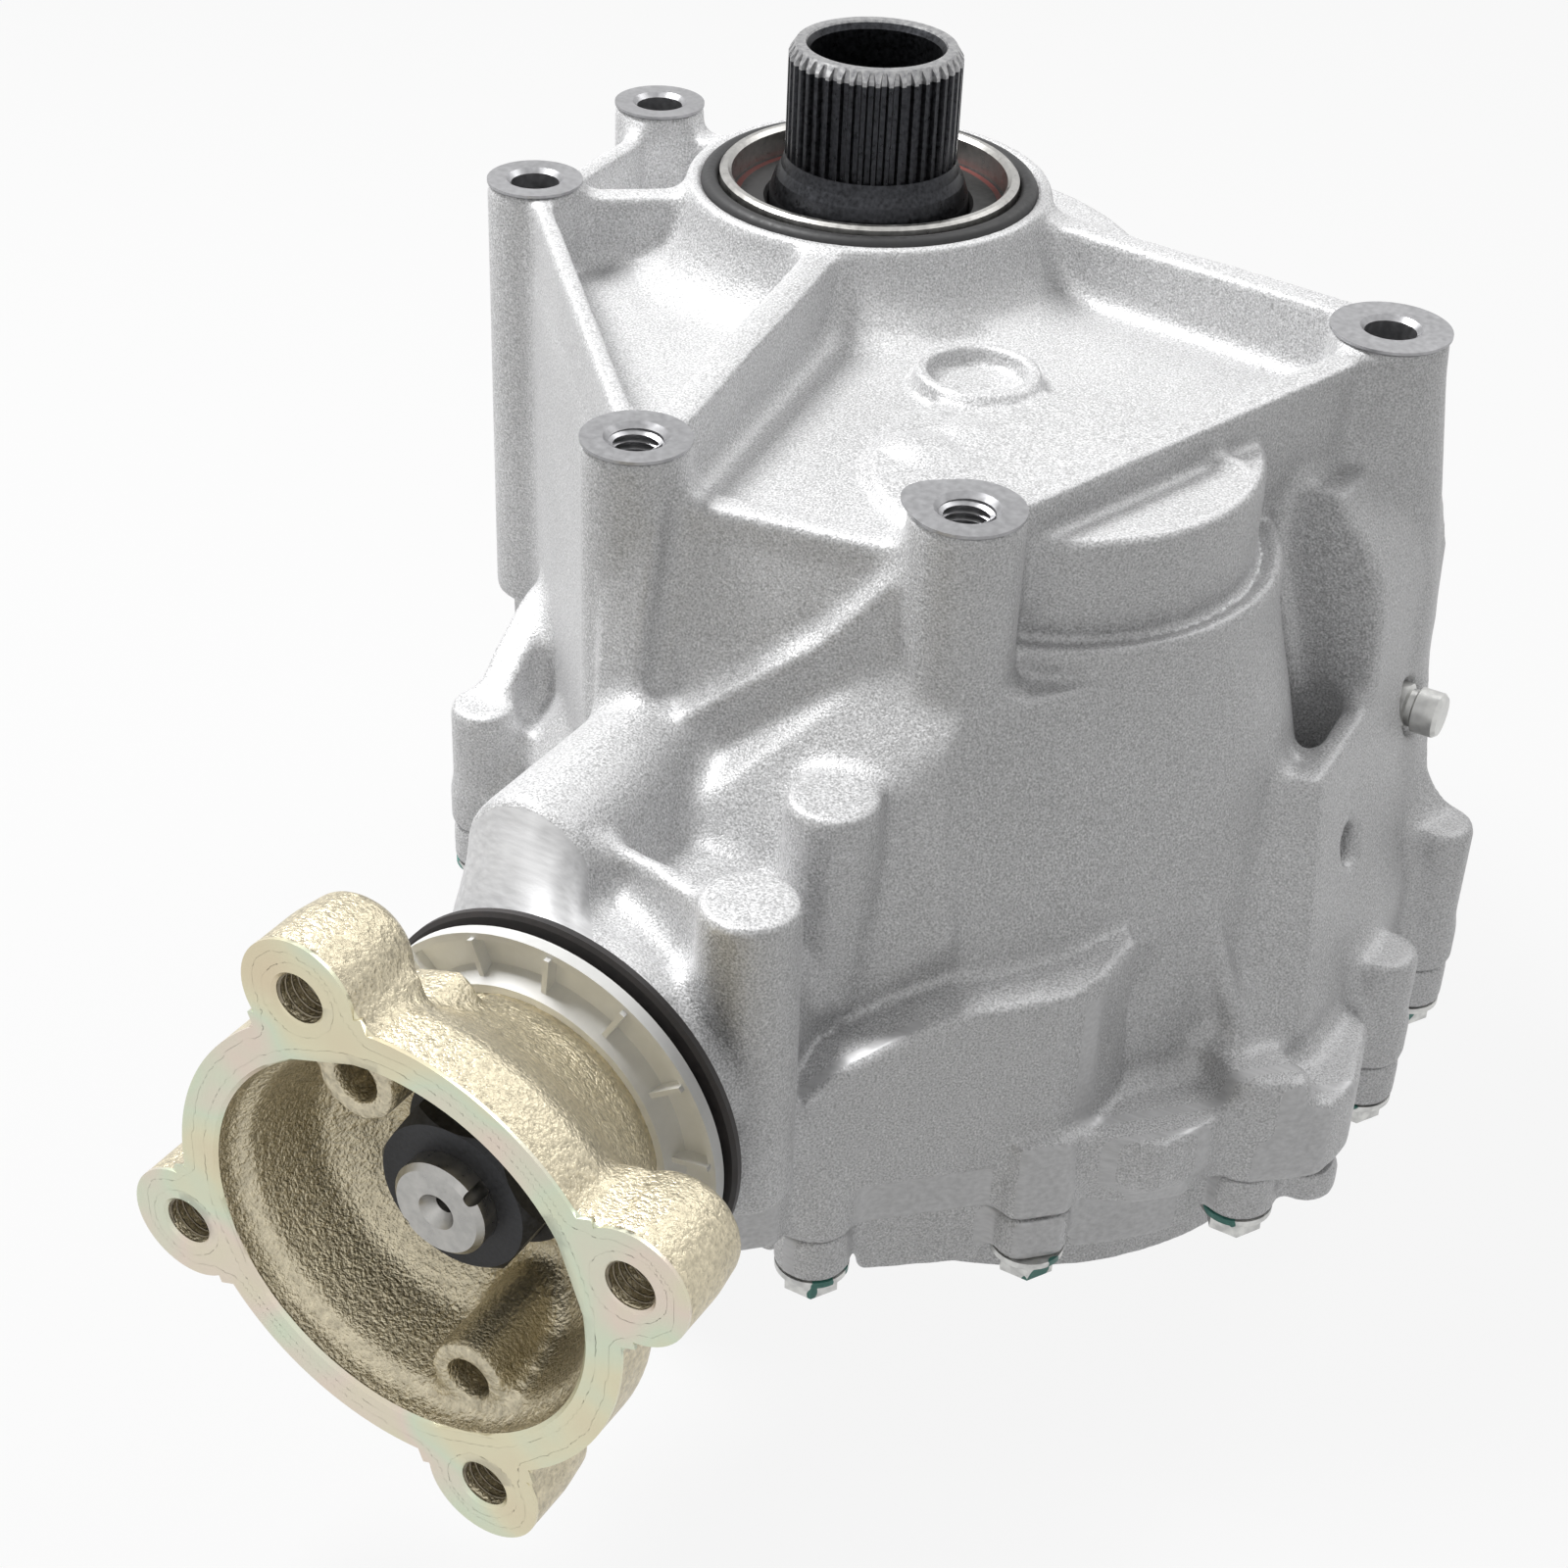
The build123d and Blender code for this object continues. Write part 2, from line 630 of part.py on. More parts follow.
def scoop():
    """The sloping floor between the front boss, the middle boss and the pinion tube."""
    near = [(31, -150, -40), (31, -163, -61), (31, -176, -75), (31, -176, PINION_Z), (31, -150, PINION_Z)]
    far = [(97, -147, -25), (77, -159, -48), (57, -171, -65), (57, -171, PINION_Z), (97, -147, PINION_Z)]
    return hull_between(near, far)


def front_walls():
    """Ribs and columns that run down the front of the casting."""
    spots = boss_points()
    front, middle = spots["front"], spots["middle"]
    low = JOINT_BOLTS[2]
    return [
        web(middle, (52, -174), 7, [(0, -8), (0.14, -9), (0.5, -33), (1, -54)], PINION_Z),
        web((front[0] + 5.5, front[1]), (front[0] + 6, front[1] - 18), 12, [(0, -10), (0.5, -12), (1, -58)], PINION_Z),
        disc(*PILLARS[0], PILLAR_R, -140, PILLAR_TOP),
        disc(*PILLARS[1], PILLAR_R, JOINT_Z + 4, PILLAR_TOP),
        web((PINION_X - 6, PILLARS[1][1] - 3), PILLARS[1], 5, [(0, -60), (0.3, -69), (0.7, -70), (1, -66)], PINION_Z),
        belt((168, -119), low, 6.5, JOINT_Z, -132),
        belt((180, -73), JOINT_BOLTS[3], TALL_BOSS_R - 0.5, JOINT_Z, TALL_BOSSES[3] - 0.5),
    ]


def plate_spot(u, depth, z):
    """A point by its distance along the milled plate, its depth behind the plate's face and its height."""
    along = Vector(47, 45).normalized()
    spot = Vector(99, -207) + along * u + Vector(-along.Y, along.X) * depth
    return spot.X, spot.Y, z


def front_plate():
    """The milled plate at the foot of the bell, its narrow ledge and the cast slope behind it."""
    tops = [(0, -126, -120), (26, -107, -104), (46, -102, -99), (66, -101, -98)]
    base = [(66, JOINT_Z), (0, JOINT_Z)]
    edge = [plate_spot(u, 0, z) for u, z, slope_z in tops] + [plate_spot(u, 0, z) for u, z in base]
    shelf = [plate_spot(u, LEDGE_DEPTH, z) for u, z, slope_z in tops] + [plate_spot(u, LEDGE_DEPTH, z) for u, z in base]
    slope = [plate_spot(u, 20, slope_z) for u, z, slope_z in tops] + [plate_spot(u, 20, z) for u, z in base]
    plate = hull_between(edge, shelf) + hull_between(shelf, slope)
    plate += prism([(146, -162), (149, -131), (130, -146)], JOINT_Z, -101)
    return plate + disc(99, -205, 4.5, JOINT_Z + 12, -127)


def plate_cut(out):
    """Everything in front of the milled plate, out from one distance, below the ledge."""
    corner = Vector(out / 2, -out / 2)
    along, front = Vector(70, 70), Vector(30, -30)
    plan = [corner - along, corner - along + front, corner + along + front, corner + along]
    return prism([(c.X, c.Y) for c in plan], FOOT_Z, -100)


def right_column():
    """The right-hand mounting column, wider towards its foot."""
    x, y, r, tapped = HUB_BOSSES["right"]
    return Pos(x, y, 0) * turned([(0, 0), (r, 0), (r + 0.5, -10), (22, -65), (24, -110), (24, JOINT_Z), (0, JOINT_Z)])


def right_block():
    """The wall block on the right with its deep pocket."""
    profile = [(125, -28), (153, -28), (155, -33), (160, -38), (164, -44), (167, -56), (168, -75), (168, -100),
               (125, -100)]
    face = make_face(Polyline(*[(x, -46, z) for x, z in profile], close=True))
    block = extrude(face, 46, dir=(0, 1, 0))
    top, foot, rim_z, foot_z = [], [], -80, -131
    pairs = [((128, -50), (128, -60)), ((150, -86), (158, -113)), ((159, -88), (176, -117)), ((170, -84), (183, -108)),
             ((168, -45), (184, -62)), ((167, 0), (182, -20)), ((128, 2), (150, 6))]
    for (x, y), (foot_x, foot_y) in pairs:
        top.append((x, y, rim_z))
        foot.append((foot_x, foot_y, foot_z))
    block += hull_between(top, foot)
    block += prism([(x, y) for x, y, z in foot], JOINT_Z, foot_z)
    pocket = prism([(147, -48), (159.5, -43), (162, -48), (164.5, -79), (158, -83), (150, -81), (146, -60)], -126, -79)
    return block, pocket - bell(0)


def main_housing():
    """The die-cast housing: deck and ribs, bell, pinion tube and joint flange round one gear space."""
    spots = boss_points()
    block, pocket = right_block()
    outer = raised(make_face(Polyline(*[(x, y, 0) for x, y in body_outline()], close=True)), JOINT_Z, DECK_Z)
    parts = [disc(0, 0, CHAMBER_R, JOINT_Z, DECK_Z), pilot_pad(), bell(0), tube(),
             neck(), scoop(), saddle(), front_plate(), right_column(), block, skirt(), raised(joint_face(), JOINT_Z, JOINT_Z + JOINT_FLANGE)]
    parts += deck_ribs() + front_walls() + deck_marks()
    parts.append(belt((164, -120), (186, -124), 5, JOINT_Z, TALL_BOSSES[2]))
    parts.append(belt((172, -73), JOINT_BOLTS[3], 7, JOINT_Z, TALL_BOSSES[3]))
    parts.append(web((149, -114), (174, -119), 5, [(0, -82), (0.15, -87), (0.6, -111), (1, -130)], JOINT_Z))
    for name, (x, y, r, tapped) in HUB_BOSSES.items():
        parts.append(disc(x, y, r, BOSS_COLUMN[name], 0))
    for index, (x, y) in enumerate(JOINT_BOLTS):
        if index in TALL_BOSSES:
            parts.append(disc(x, y, TALL_BOSS_R, JOINT_Z, TALL_BOSSES[index]))
        else:
            parts.append(disc(x, y, JOINT_BOSS_R - 0.3, JOINT_Z, JOINT_BOSS_TOP))
    parts.append(web(JOINT_BOLTS[4], (160, -18), 12, [(0, -119), (0.8, -100), (1, -98)], JOINT_Z))
    parts.append(web(JOINT_BOLTS[11], (-52, -70), 10, [(0, -124), (0.7, -106), (1, -104)], JOINT_Z))
    parts.append(prism([(150, -160), (146, -140), (164, -121), (178, -127), (170, -150)], JOINT_Z, -140))
    parts.append(prism([(179, -82), (175, -104), (187, -126), (195, -128), (198, -109), (192, -86)], JOINT_Z, -139))
    casting = outer.fuse(*parts)
    casting -= pocket

    # The gear space, with the bearing seats left standing in it
    space = raised(inset(body_outline(), WALL + 1), JOINT_Z, DECK_Z - DECK_THICK)
    space += disc(0, 0, CHAMBER_R - WALL, JOINT_Z, DECK_Z - DECK_THICK)
    space += bell(-WALL) & disc(COUNTER_X, COUNTER_Y, 120, JOINT_Z, LEDGE_Z - 8)
    seat_low = COUNTER_TOP_Z - 4
    space -= disc(COUNTER_X, COUNTER_Y, COUNTER_BEARING[1] + WALL, seat_low, DECK_Z)
    space -= disc(0, 0, INPUT_BEARING[1] + WALL, INPUT_TOP_Z - 4, DECK_Z)
    space -= outwards(disc(0, 0, TUBE_R - 2, HEAD_S - 2, MOUTH_S))
    space += at_counter(turned([(0, JOINT_Z), (RING_CLEAR_R, JOINT_Z), (RING_CLEAR_R, -132), (52, RING_ROOF_Z),
                                (0, RING_ROOF_Z)]))
    space += outwards(disc(0, 0, HEAD_CLEAR_R, TUBE_START_S, HEAD_S))
    space += raised(cavity_face(), JOINT_Z, JOINT_Z + 4)
    casting -= space

    casting -= plate_cut(PLATE_OUT)
    casting -= web((116, -196), (137, -175), 6, [(0, JOINT_Z + SLOT_HIGH), (1, JOINT_Z + SLOT_HIGH)], JOINT_Z)

    # Bearing seats and the bores on the three axes
    input_bore = turned([(0, INPUT_TOP_Z - 6), (INPUT_BEARING[1], INPUT_TOP_Z - 6), (INPUT_BEARING[1], INPUT_CAP_Z),
                         (COLLAR_BORE - 2, INPUT_CAP_Z), (COLLAR_BORE - 2, COLLAR_TOP - COLLAR_LENGTH),
                         (COLLAR_R + SEAT_GAP, COLLAR_TOP - COLLAR_LENGTH), (COLLAR_R + SEAT_GAP, -RING_DEPTH),
                         (RING_R, -RING_DEPTH), (RING_R, 1), (0, 1)])
    counter_bore = at_counter(disc(0, 0, COUNTER_BEARING[1], seat_low - 2, COUNTER_CAP_Z))
    pinion_bore = outwards(turned([(0, HEAD_S - 4), (HEAD_BEARING[1], HEAD_S - 4),
                                   (HEAD_BEARING[1], HEAD_S + HEAD_BEARING[2]),
                                   (TAIL_BEARING[1] - 3, HEAD_S + HEAD_BEARING[2]), (TAIL_BEARING[1] - 3, TAIL_S),
                                   (TAIL_BEARING[1], TAIL_S), (TAIL_BEARING[1], SEAL_S), (SEAL_R, SEAL_S),
                                   (SEAL_R, MOUTH_S + 1), (0, MOUTH_S + 1)]))
    casting = casting - input_bore - counter_bore - pinion_bore
    for x, y, r, tapped in HUB_BOSSES.values():
        bore, depth = (BOSS_TAP, TAP_DEPTH) if tapped else (BOSS_BORE, PLAIN_DEPTH)
        chamfer = bore + BOSS_CHAMFER
        cut = turned([(0, -depth), (bore, -depth), (bore, -BOSS_CHAMFER), (chamfer, 0), (chamfer, 1), (0, 1)])
        casting -= Pos(x, y, 0) * cut
    for x, y in JOINT_BOLTS:
        casting -= disc(x, y, JOINT_BOLT_R, JOINT_Z - 1, JOINT_Z + BOLT_THREAD)
    for x, y in dowel_places():
        casting -= disc(x, y, DOWEL_R + SEAT_GAP, JOINT_Z - 1, JOINT_Z + DOWEL_LENGTH / 2)
    vent = Pos(*VENT_SEAT) * Rot(0, 90, 0)
    casting -= vent * disc(0, 0, VENT_R + SEAT_GAP, -VENT_DEPTH, 1)
    casting -= vent * disc(0, 0, VENT_R + 1.5, 0, 20)
    casting -= Pos(*LEVEL_HOLE) * Rot(0, 90, 0) * Cylinder(5.5, 24)
    casting -= plug_place() * Cylinder(PLUG_R + SEAT_GAP, 40)
    return casting


def dowel_places():
    """The two dowels sit between bolts, on opposite sides of the joint."""
    pairs = [(2, 3), (11, 12)]
    return [((JOINT_BOLTS[a][0] + JOINT_BOLTS[b][0]) / 2 - 2, (JOINT_BOLTS[a][1] + JOINT_BOLTS[b][1]) / 2)
            for a, b in pairs]


def cover_dowels():
    low, high = JOINT_Z - DOWEL_LENGTH / 2, JOINT_Z + DOWEL_LENGTH / 2 - 0.5
    tube_shape = turned([(DOWEL_R - 1.6, low), (DOWEL_R, low), (DOWEL_R, high), (DOWEL_R - 1.6, high)])
    return Compound([Pos(x, y, 0) * tube_shape for x, y in dowel_places()])


def plug_place():
    """The filler plug's seat in the wall behind the input shaft, level with the gear oil."""
    return Pos(0, CHAMBER_R, PLUG_Z) * Rot(-90, 0, 0)


def end_cover():
    """The cover that closes the gear space: joint flange with tabs, gear bulges, hubs and ribs."""
    tab_z = JOINT_Z - COVER_FLANGE - COVER_TAB
    cover = raised(joint_face(-0.6), tab_z, JOINT_Z)
    inner = Circle(CHAMBER_R - 2) + Pos(COUNTER_X, COUNTER_Y, 0) * Circle(BULGE_R)
    tabs_inside = offset(joint_face(-0.6), -TAB_WALL, kind=Kind.INTERSECTION)
    cover -= raised(tabs_inside, tab_z, JOINT_Z - COVER_FLANGE)
    cover += raised(inner, BULGE_Z, JOINT_Z)
    hubs = disc(0, 0, INPUT_BEARING[1] + WALL, FOOT_Z, BULGE_Z)
    hubs += disc(COUNTER_X, COUNTER_Y, COUNTER_BEARING[1] + WALL, FOOT_Z, BULGE_Z)
    cover += hubs
    for k in range(5):
        angle = math.radians(COUNTER_BEARING_DEG + 150 + 52 * k)
        cover += web((0, 0), ((CHAMBER_R - 8) * math.cos(angle), (CHAMBER_R - 8) * math.sin(angle)), 6,
                     [(0, FOOT_Z + 5), (0.6, FOOT_Z + 5), (1, BULGE_Z - 1)], BULGE_Z + 1)
    for k in range(6):
        angle = math.radians(COUNTER_BEARING_DEG - 130 + 52 * k)
        end = (COUNTER_X + (BULGE_R - 6) * math.cos(angle), COUNTER_Y + (BULGE_R - 6) * math.sin(angle))
        cover += web((COUNTER_X, COUNTER_Y), end, 6, [(0, FOOT_Z + 5), (0.6, FOOT_Z + 5), (1, BULGE_Z - 1)], BULGE_Z + 1)
    cover += belt((189.5, -112), (170, -98), 8, tab_z + 7, JOINT_Z - 3)

    floor_z = BULGE_Z + WALL - 1
    space = disc(0, 0, CHAMBER_R - 2 - WALL, floor_z, JOINT_Z)
    space += disc(COUNTER_X, COUNTER_Y, BULGE_R - WALL, floor_z, JOINT_Z)
    cover -= space
    cover -= disc(COUNTER_X, COUNTER_Y, COUNTER_BEARING[1], COUNTER_LOW_Z, JOINT_Z)
    cover -= disc(0, 0, INPUT_BEARING[1], INPUT_LOW_Z, JOINT_Z)
    cover -= disc(0, 0, INPUT_BEARING[0] + 3, INPUT_LOW_Z - 2, INPUT_LOW_Z)
    cover -= disc(0, 0, HALFSHAFT_SEAL_R, FOOT_Z, INPUT_LOW_Z - 2)
    cover -= disc(COUNTER_X, COUNTER_Y, COUNTER_BEARING[0], FOOT_Z, FOOT_Z + 3)
    cover -= plate_cut(PLATE_OUT)
    for x, y in JOINT_BOLTS:
        cover -= disc(x, y, JOINT_BOSS_R + 1.5, tab_z, JOINT_Z - COVER_FLANGE)
        cover -= disc(x, y, JOINT_BOLT_R + 0.5, tab_z, JOINT_Z)
    for x, y in dowel_places():
        cover -= disc(x, y, DOWEL_R + SEAT_GAP, JOINT_Z - DOWEL_LENGTH / 2, JOINT_Z)
    return cover


def flange_bolt(shank_r, length, flange_r, head_flats):
    """A hexagon flange bolt standing on z = 0, head below and shank above."""
    bolt = Cylinder(shank_r, length, align=(Align.CENTER, Align.CENTER, Align.MIN))
    bolt += Cylinder(flange_r, 1.6, align=(Align.CENTER, Align.CENTER, Align.MAX))
    hexagon = RegularPolygon(head_flats / 2, 6, major_radius=False)
    return bolt + Pos(0, 0, -1.6) * extrude(hexagon, head_flats * 0.42, dir=(0, 0, -1))


def cover_bolts():
    bolt = flange_bolt(JOINT_BOLT_R - 0.15, COVER_FLANGE + BOLT_THREAD - 3, 8.6, 12)
    return Compound([Pos(x, y, JOINT_Z - COVER_FLANGE) * bolt for x, y in JOINT_BOLTS])


def pilot_oring():
    """The ring seal that lies round the collar in the step of the pilot."""
    centre = COLLAR_R + ORING_WIRE + 0.3
    return Pos(0, 0, -RING_DEPTH + ORING_WIRE) * Torus(centre, ORING_WIRE)


def seal_collar():
    """Steel collar with a rolled rim that carries the input seal and centres the case."""
    low = COLLAR_TOP - COLLAR_LENGTH
    return turned([(COLLAR_BORE, low), (COLLAR_R, low), (COLLAR_R, COLLAR_TOP - 0.8), (COLLAR_R - 0.8, COLLAR_TOP),
                   (COLLAR_BORE + 1, COLLAR_TOP), (COLLAR_BORE, COLLAR_TOP - 1)])


def lip_seal(outer, lip, low, high):
    """A radial lip seal about Z: a ring with its lip turned towards the low end."""
    width = high - low
    wall = min(3.5, (outer - lip) / 3)
    return turned([(outer - SEAT_GAP, low), (outer - SEAT_GAP, high), (lip + 1.5, high), (lip + 0.6, high - 1),
                   (lip + LIP_GAP, high - 0.35 * width), (lip + 1.2, low + 0.1 * width),
                   (lip + 2.2, low + 0.1 * width), (lip + 2.8, high - 0.4 * width), (outer - wall, high - 0.4 * width),
                   (outer - wall, low)])


def input_seal():
    return lip_seal(COLLAR_BORE, SHOULDER_R, COLLAR_TOP - COLLAR_LENGTH, INPUT_SEAL_TOP)


def halfshaft_seal():
    return lip_seal(HALFSHAFT_SEAL_R, SHAFT_BORE + 0.3, FOOT_Z + SEAL_INSET, INPUT_LOW_Z - 2.2)


def pinion_seal():
    """The pinion's lip seal, with the rubber rim that covers the mouth of the tube."""
    body = lip_seal(SEAL_R, HUB_R, SEAL_S + 0.2, MOUTH_S)
    rim = turned([(SEAL_R - 4, MOUTH_S), (SEAL_RIM_R, MOUTH_S), (SEAL_RIM_R, MOUTH_S + 1.4), (SEAL_RIM_R - 1, MOUTH_S + 2),
                  (SEAL_R - 4, MOUTH_S + 2)])
    return outwards(body + rim)


def vent_plug():
    """Breather stub pressed into the right-hand column."""
    x = -VENT_DEPTH + 1
    stub = turned([(0, x), (VENT_R, x), (VENT_R, 4), (VENT_R - 1, 4.6), (VENT_R - 1, 6), (VENT_R, 6.6), (VENT_R, 12),
                   (VENT_R - 0.8, 13), (0, 13)])
    return Pos(*VENT_SEAT) * Rot(0, 90, 0) * stub


def filler_plug():
    """Socket-head filler plug."""
    head = turned([(0, -PLUG_DEPTH), (PLUG_R, -PLUG_DEPTH), (PLUG_R, PLUG_STAND), (PLUG_HEAD_R, PLUG_STAND),
                   (PLUG_HEAD_R, PLUG_STAND + 4), (0, PLUG_STAND + 4)])
    socket = extrude(RegularPolygon(5, 6, major_radius=False), 7)
    return plug_place() * (head - Pos(0, 0, PLUG_STAND - 2.9) * socket)


def input_shaft():
    """Hollow input shaft with external splines at the top."""
    top_seat = INPUT_TOP_Z
    low_end = INPUT_LOW_Z - 1
    r = INPUT_BEARING[0]
    core = turned([(SHAFT_BORE, low_end), (r, low_end), (r, INPUT_LOW_Z + INPUT_BEARING[2]),
                   (INPUT_GEAR_SEAT, INPUT_LOW_Z + INPUT_BEARING[2]), (INPUT_GEAR_SEAT, SPUR_Z),
                   (INPUT_GEAR_SEAT + 4, SPUR_Z), (INPUT_GEAR_SEAT + 4, SPUR_Z + 5), (INPUT_GEAR_SEAT, SPUR_Z + 5),
                   (INPUT_GEAR_SEAT, top_seat), (r, top_seat), (r, -4), (r - 0.4, -2.5), (24.6, 0.5),
                   (23.2, 3), (SPLINE_TIP, 6), (SPLINE_ROOT, 6),
                   (SPLINE_ROOT, SPLINE_TOP), (SHAFT_TOP_R, SHAFT_TOP), (SHAFT_BORE + 1.2, SHAFT_TOP),
                   (SHAFT_BORE, SHAFT_TOP - 2)])
    outline = []
    pitch = 2 * math.pi / SPLINE_TEETH
    for i in range(SPLINE_TEETH):
        for share, radius in ((-0.34, SPLINE_ROOT - 0.3), (-0.16, SPLINE_TIP), (0.16, SPLINE_TIP),
                              (0.34, SPLINE_ROOT - 0.3)):
            angle = pitch * (i + share)
            outline.append((radius * math.cos(angle), radius * math.sin(angle)))
    teeth = prism(outline, 1, SHAFT_TOP) - disc(0, 0, SPLINE_ROOT - 0.8, 1, SHAFT_TOP)
    slope = (SPLINE_TIP - SHAFT_TOP_R) / (SHAFT_TOP - SPLINE_TOP)
    limit = turned([(0, 0), (SPLINE_TIP, 0), (SPLINE_TIP, SPLINE_TOP), (SPLINE_TIP - slope * (SHAFT_TOP - SPLINE_TOP),
                    SHAFT_TOP), (0, SHAFT_TOP)])
    return core + (teeth & limit)


def countershaft():
    """The upright shaft between the gears, with the flange that carries the ring gear."""
    r = COUNTER_BEARING[0]
    seat = DRIVEN_GEAR_SEAT
    shaft = turned([(0, COUNTER_LOW_Z + 1), (r, COUNTER_LOW_Z + 1), (r, COUNTER_LOW_Z + COUNTER_BEARING[2]),
                    (seat, COUNTER_LOW_Z + COUNTER_BEARING[2]), (seat, SPUR_Z), (seat + 8, SPUR_Z),
                    (seat + 8, RING_BACK_Z - RING_PLATE), (RING_INNER, RING_BACK_Z - RING_PLATE),
                    (RING_INNER, RING_BACK_Z), (RING_BORE - SEAT_GAP, RING_BACK_Z),
                    (RING_BORE - SEAT_GAP, RING_BACK_Z + 8), (seat + 6, RING_BACK_Z + 14), (seat + 2, COUNTER_TOP_Z),
                    (r, COUNTER_TOP_Z), (r, COUNTER_CAP_Z - 1), (0, COUNTER_CAP_Z - 1)])
    shaft -= disc(0, 0, 6, COUNTER_LOW_Z + 1, COUNTER_LOW_Z + 30)
    for hole in around(disc(0, 0, RING_BOLT_R + 0.2, RING_BACK_Z - RING_PLATE, RING_BACK_Z), RING_BOLTS,
                       RING_BOLT_CIRCLE):
        shaft -= hole
    return at_counter(shaft)


def ring_gear_bolts():
    bolt = flange_bolt(RING_BOLT_R - 0.15, RING_PLATE + RING_BOLT_DEPTH - 1.5, 6, 10)
    bolts = around(Pos(0, 0, RING_BACK_Z - RING_PLATE) * bolt, RING_BOLTS, RING_BOLT_CIRCLE)
    return at_counter(Compound(bolts))


def pinion_shaft():
    """Hypoid pinion in one piece with its shaft, stepped for its bearings, splines and nut."""
    head = hypoid_pinion_head()
    back = mesh_s(RING_OUTER) + 1
    r_head, r_tail = HEAD_BEARING[0], TAIL_BEARING[0]
    thread = SHAFT_END_R
    shank = turned([(0, back), (24, back), (24, HEAD_S), (r_head, HEAD_S), (r_head, HEAD_S + HEAD_BEARING[2]),
                    (r_tail, HEAD_S + HEAD_BEARING[2]), (r_tail, TAIL_S + TAIL_BEARING[2]),
                    (FLANGE_BORE - SEAT_GAP, TAIL_S + TAIL_BEARING[2]), (FLANGE_BORE - SEAT_GAP, FLANGE_FLOOR_S - 2),
                    (thread, FLANGE_FLOOR_S - 2), (thread, SHAFT_END_S - 1.2), (thread - 1.2, SHAFT_END_S),
                    (4.2, SHAFT_END_S), (2.2, SHAFT_END_S - 3), (2.2, SHAFT_END_S - 9), (0, SHAFT_END_S - 9)])
    stakes = [Rot(0, 0, 180 * k + 40) * Pos(thread, 0, SHAFT_END_S - 3) * Cylinder(1.6, 8) for k in range(2)]
    for stake in stakes:
        shank -= stake
    return outwards(shank) + head


def crush_spacer():
    """The collapsible sleeve that sets the preload between the pinion's bearings."""
    low, high = HEAD_S + HEAD_BEARING[2], TAIL_S
    inner = TAIL_BEARING[0] + SEAT_GAP
    middle = (low + high) / 2
    return outwards(turned([(inner, low), (inner + 2, low), (inner + 2, middle - 6), (inner + 5, middle),
                            (inner + 2, middle + 6), (inner + 2, high), (inner, high), (inner, middle + 6),
                            (inner + 3, middle), (inner, middle - 6)]))


def companion_flange():
    """The propshaft flange: a cast cup with four tapped ears, a pilot bore and a hub over the pinion."""
    face, floor = FACE_S, FLANGE_FLOOR_S
    back = TAIL_S + TAIL_BEARING[2]
    cup = turned([(FLANGE_BORE, back), (HUB_R, back), (HUB_R, SHIELD_S - 1.5), (SHIELD_BORE, SHIELD_S - 1.5),
                  (SHIELD_BORE, SHIELD_S + 8), (33.5, SHIELD_S + 10), (35.5, SHIELD_S + 17), (41, SHIELD_S + 27),
                  (47, face - 19), (FLANGE_RIM - 1.5, face - 14), (FLANGE_RIM, face - 11), (FLANGE_RIM, face),
                  (FLANGE_PILOT + 0.8, face),
                  (FLANGE_PILOT, face - 0.8), (FLANGE_PILOT, face - FLANGE_PILOT_DEPTH),
                  (FLANGE_PILOT - 2, face - FLANGE_PILOT_DEPTH), (FLANGE_PILOT - 3, face - FLANGE_PILOT_DEPTH - 2),
                  (37, floor + 12), (29, floor + 3), (25, floor), (FLANGE_BORE, floor)])
    ear_profile = turned([(0, face - EAR_THICK), (EAR_R - 4, face - EAR_THICK), (EAR_R - 1, face - EAR_THICK + 3),
                          (EAR_R, face - 12), (EAR_R, face), (0, face)])
    ears = around(ear_profile, HOLE_COUNT, HOLE_CIRCLE, HOLE_START_DEG)
    arms = [Rot(0, 0, HOLE_START_DEG + 360 / HOLE_COUNT * k) * Pos(FLANGE_PILOT + 5, 0, face - 9) * Box(10, 29, 18)
            for k in range(HOLE_COUNT)]
    lug = Cylinder(LUG_R, face - FLANGE_PILOT_DEPTH - floor, align=(Align.CENTER, Align.CENTER, Align.MIN))
    hollow = turned([(0, floor), (FLANGE_PILOT, floor), (FLANGE_PILOT, face + 1), (0, face + 1)])
    body = cup.fuse(*[ear - hollow for ear in ears], *[arm - hollow for arm in arms])
    lugs = [Rot(0, 0, angle) * Pos(LUG_CIRCLE, 0, floor) * lug for angle in (HOLE_START_DEG + 90, HOLE_START_DEG + 270)]
    for lug_piece in lugs:
        body += lug_piece & disc(0, 0, FLANGE_PILOT - 1, floor, face)
    body -= disc(0, 0, FLANGE_BORE, back, floor)
    for angle in (HOLE_START_DEG + 90, HOLE_START_DEG + 270):
        body -= Rot(0, 0, angle) * Pos(LUG_CIRCLE, 0, 0) * disc(0, 0, LUG_HOLE_R, SHIELD_S + 8, face)
    for hole in around(turned([(0, face - EAR_THICK - 1), (FLANGE_TAP, face - EAR_THICK - 1), (FLANGE_TAP, face - 0.7),
                               (FLANGE_TAP + 0.7, face), (FLANGE_TAP + 0.7, face + 1), (0, face + 1)]), HOLE_COUNT,
                       HOLE_CIRCLE, HOLE_START_DEG):
        body -= hole
    return outwards(body)


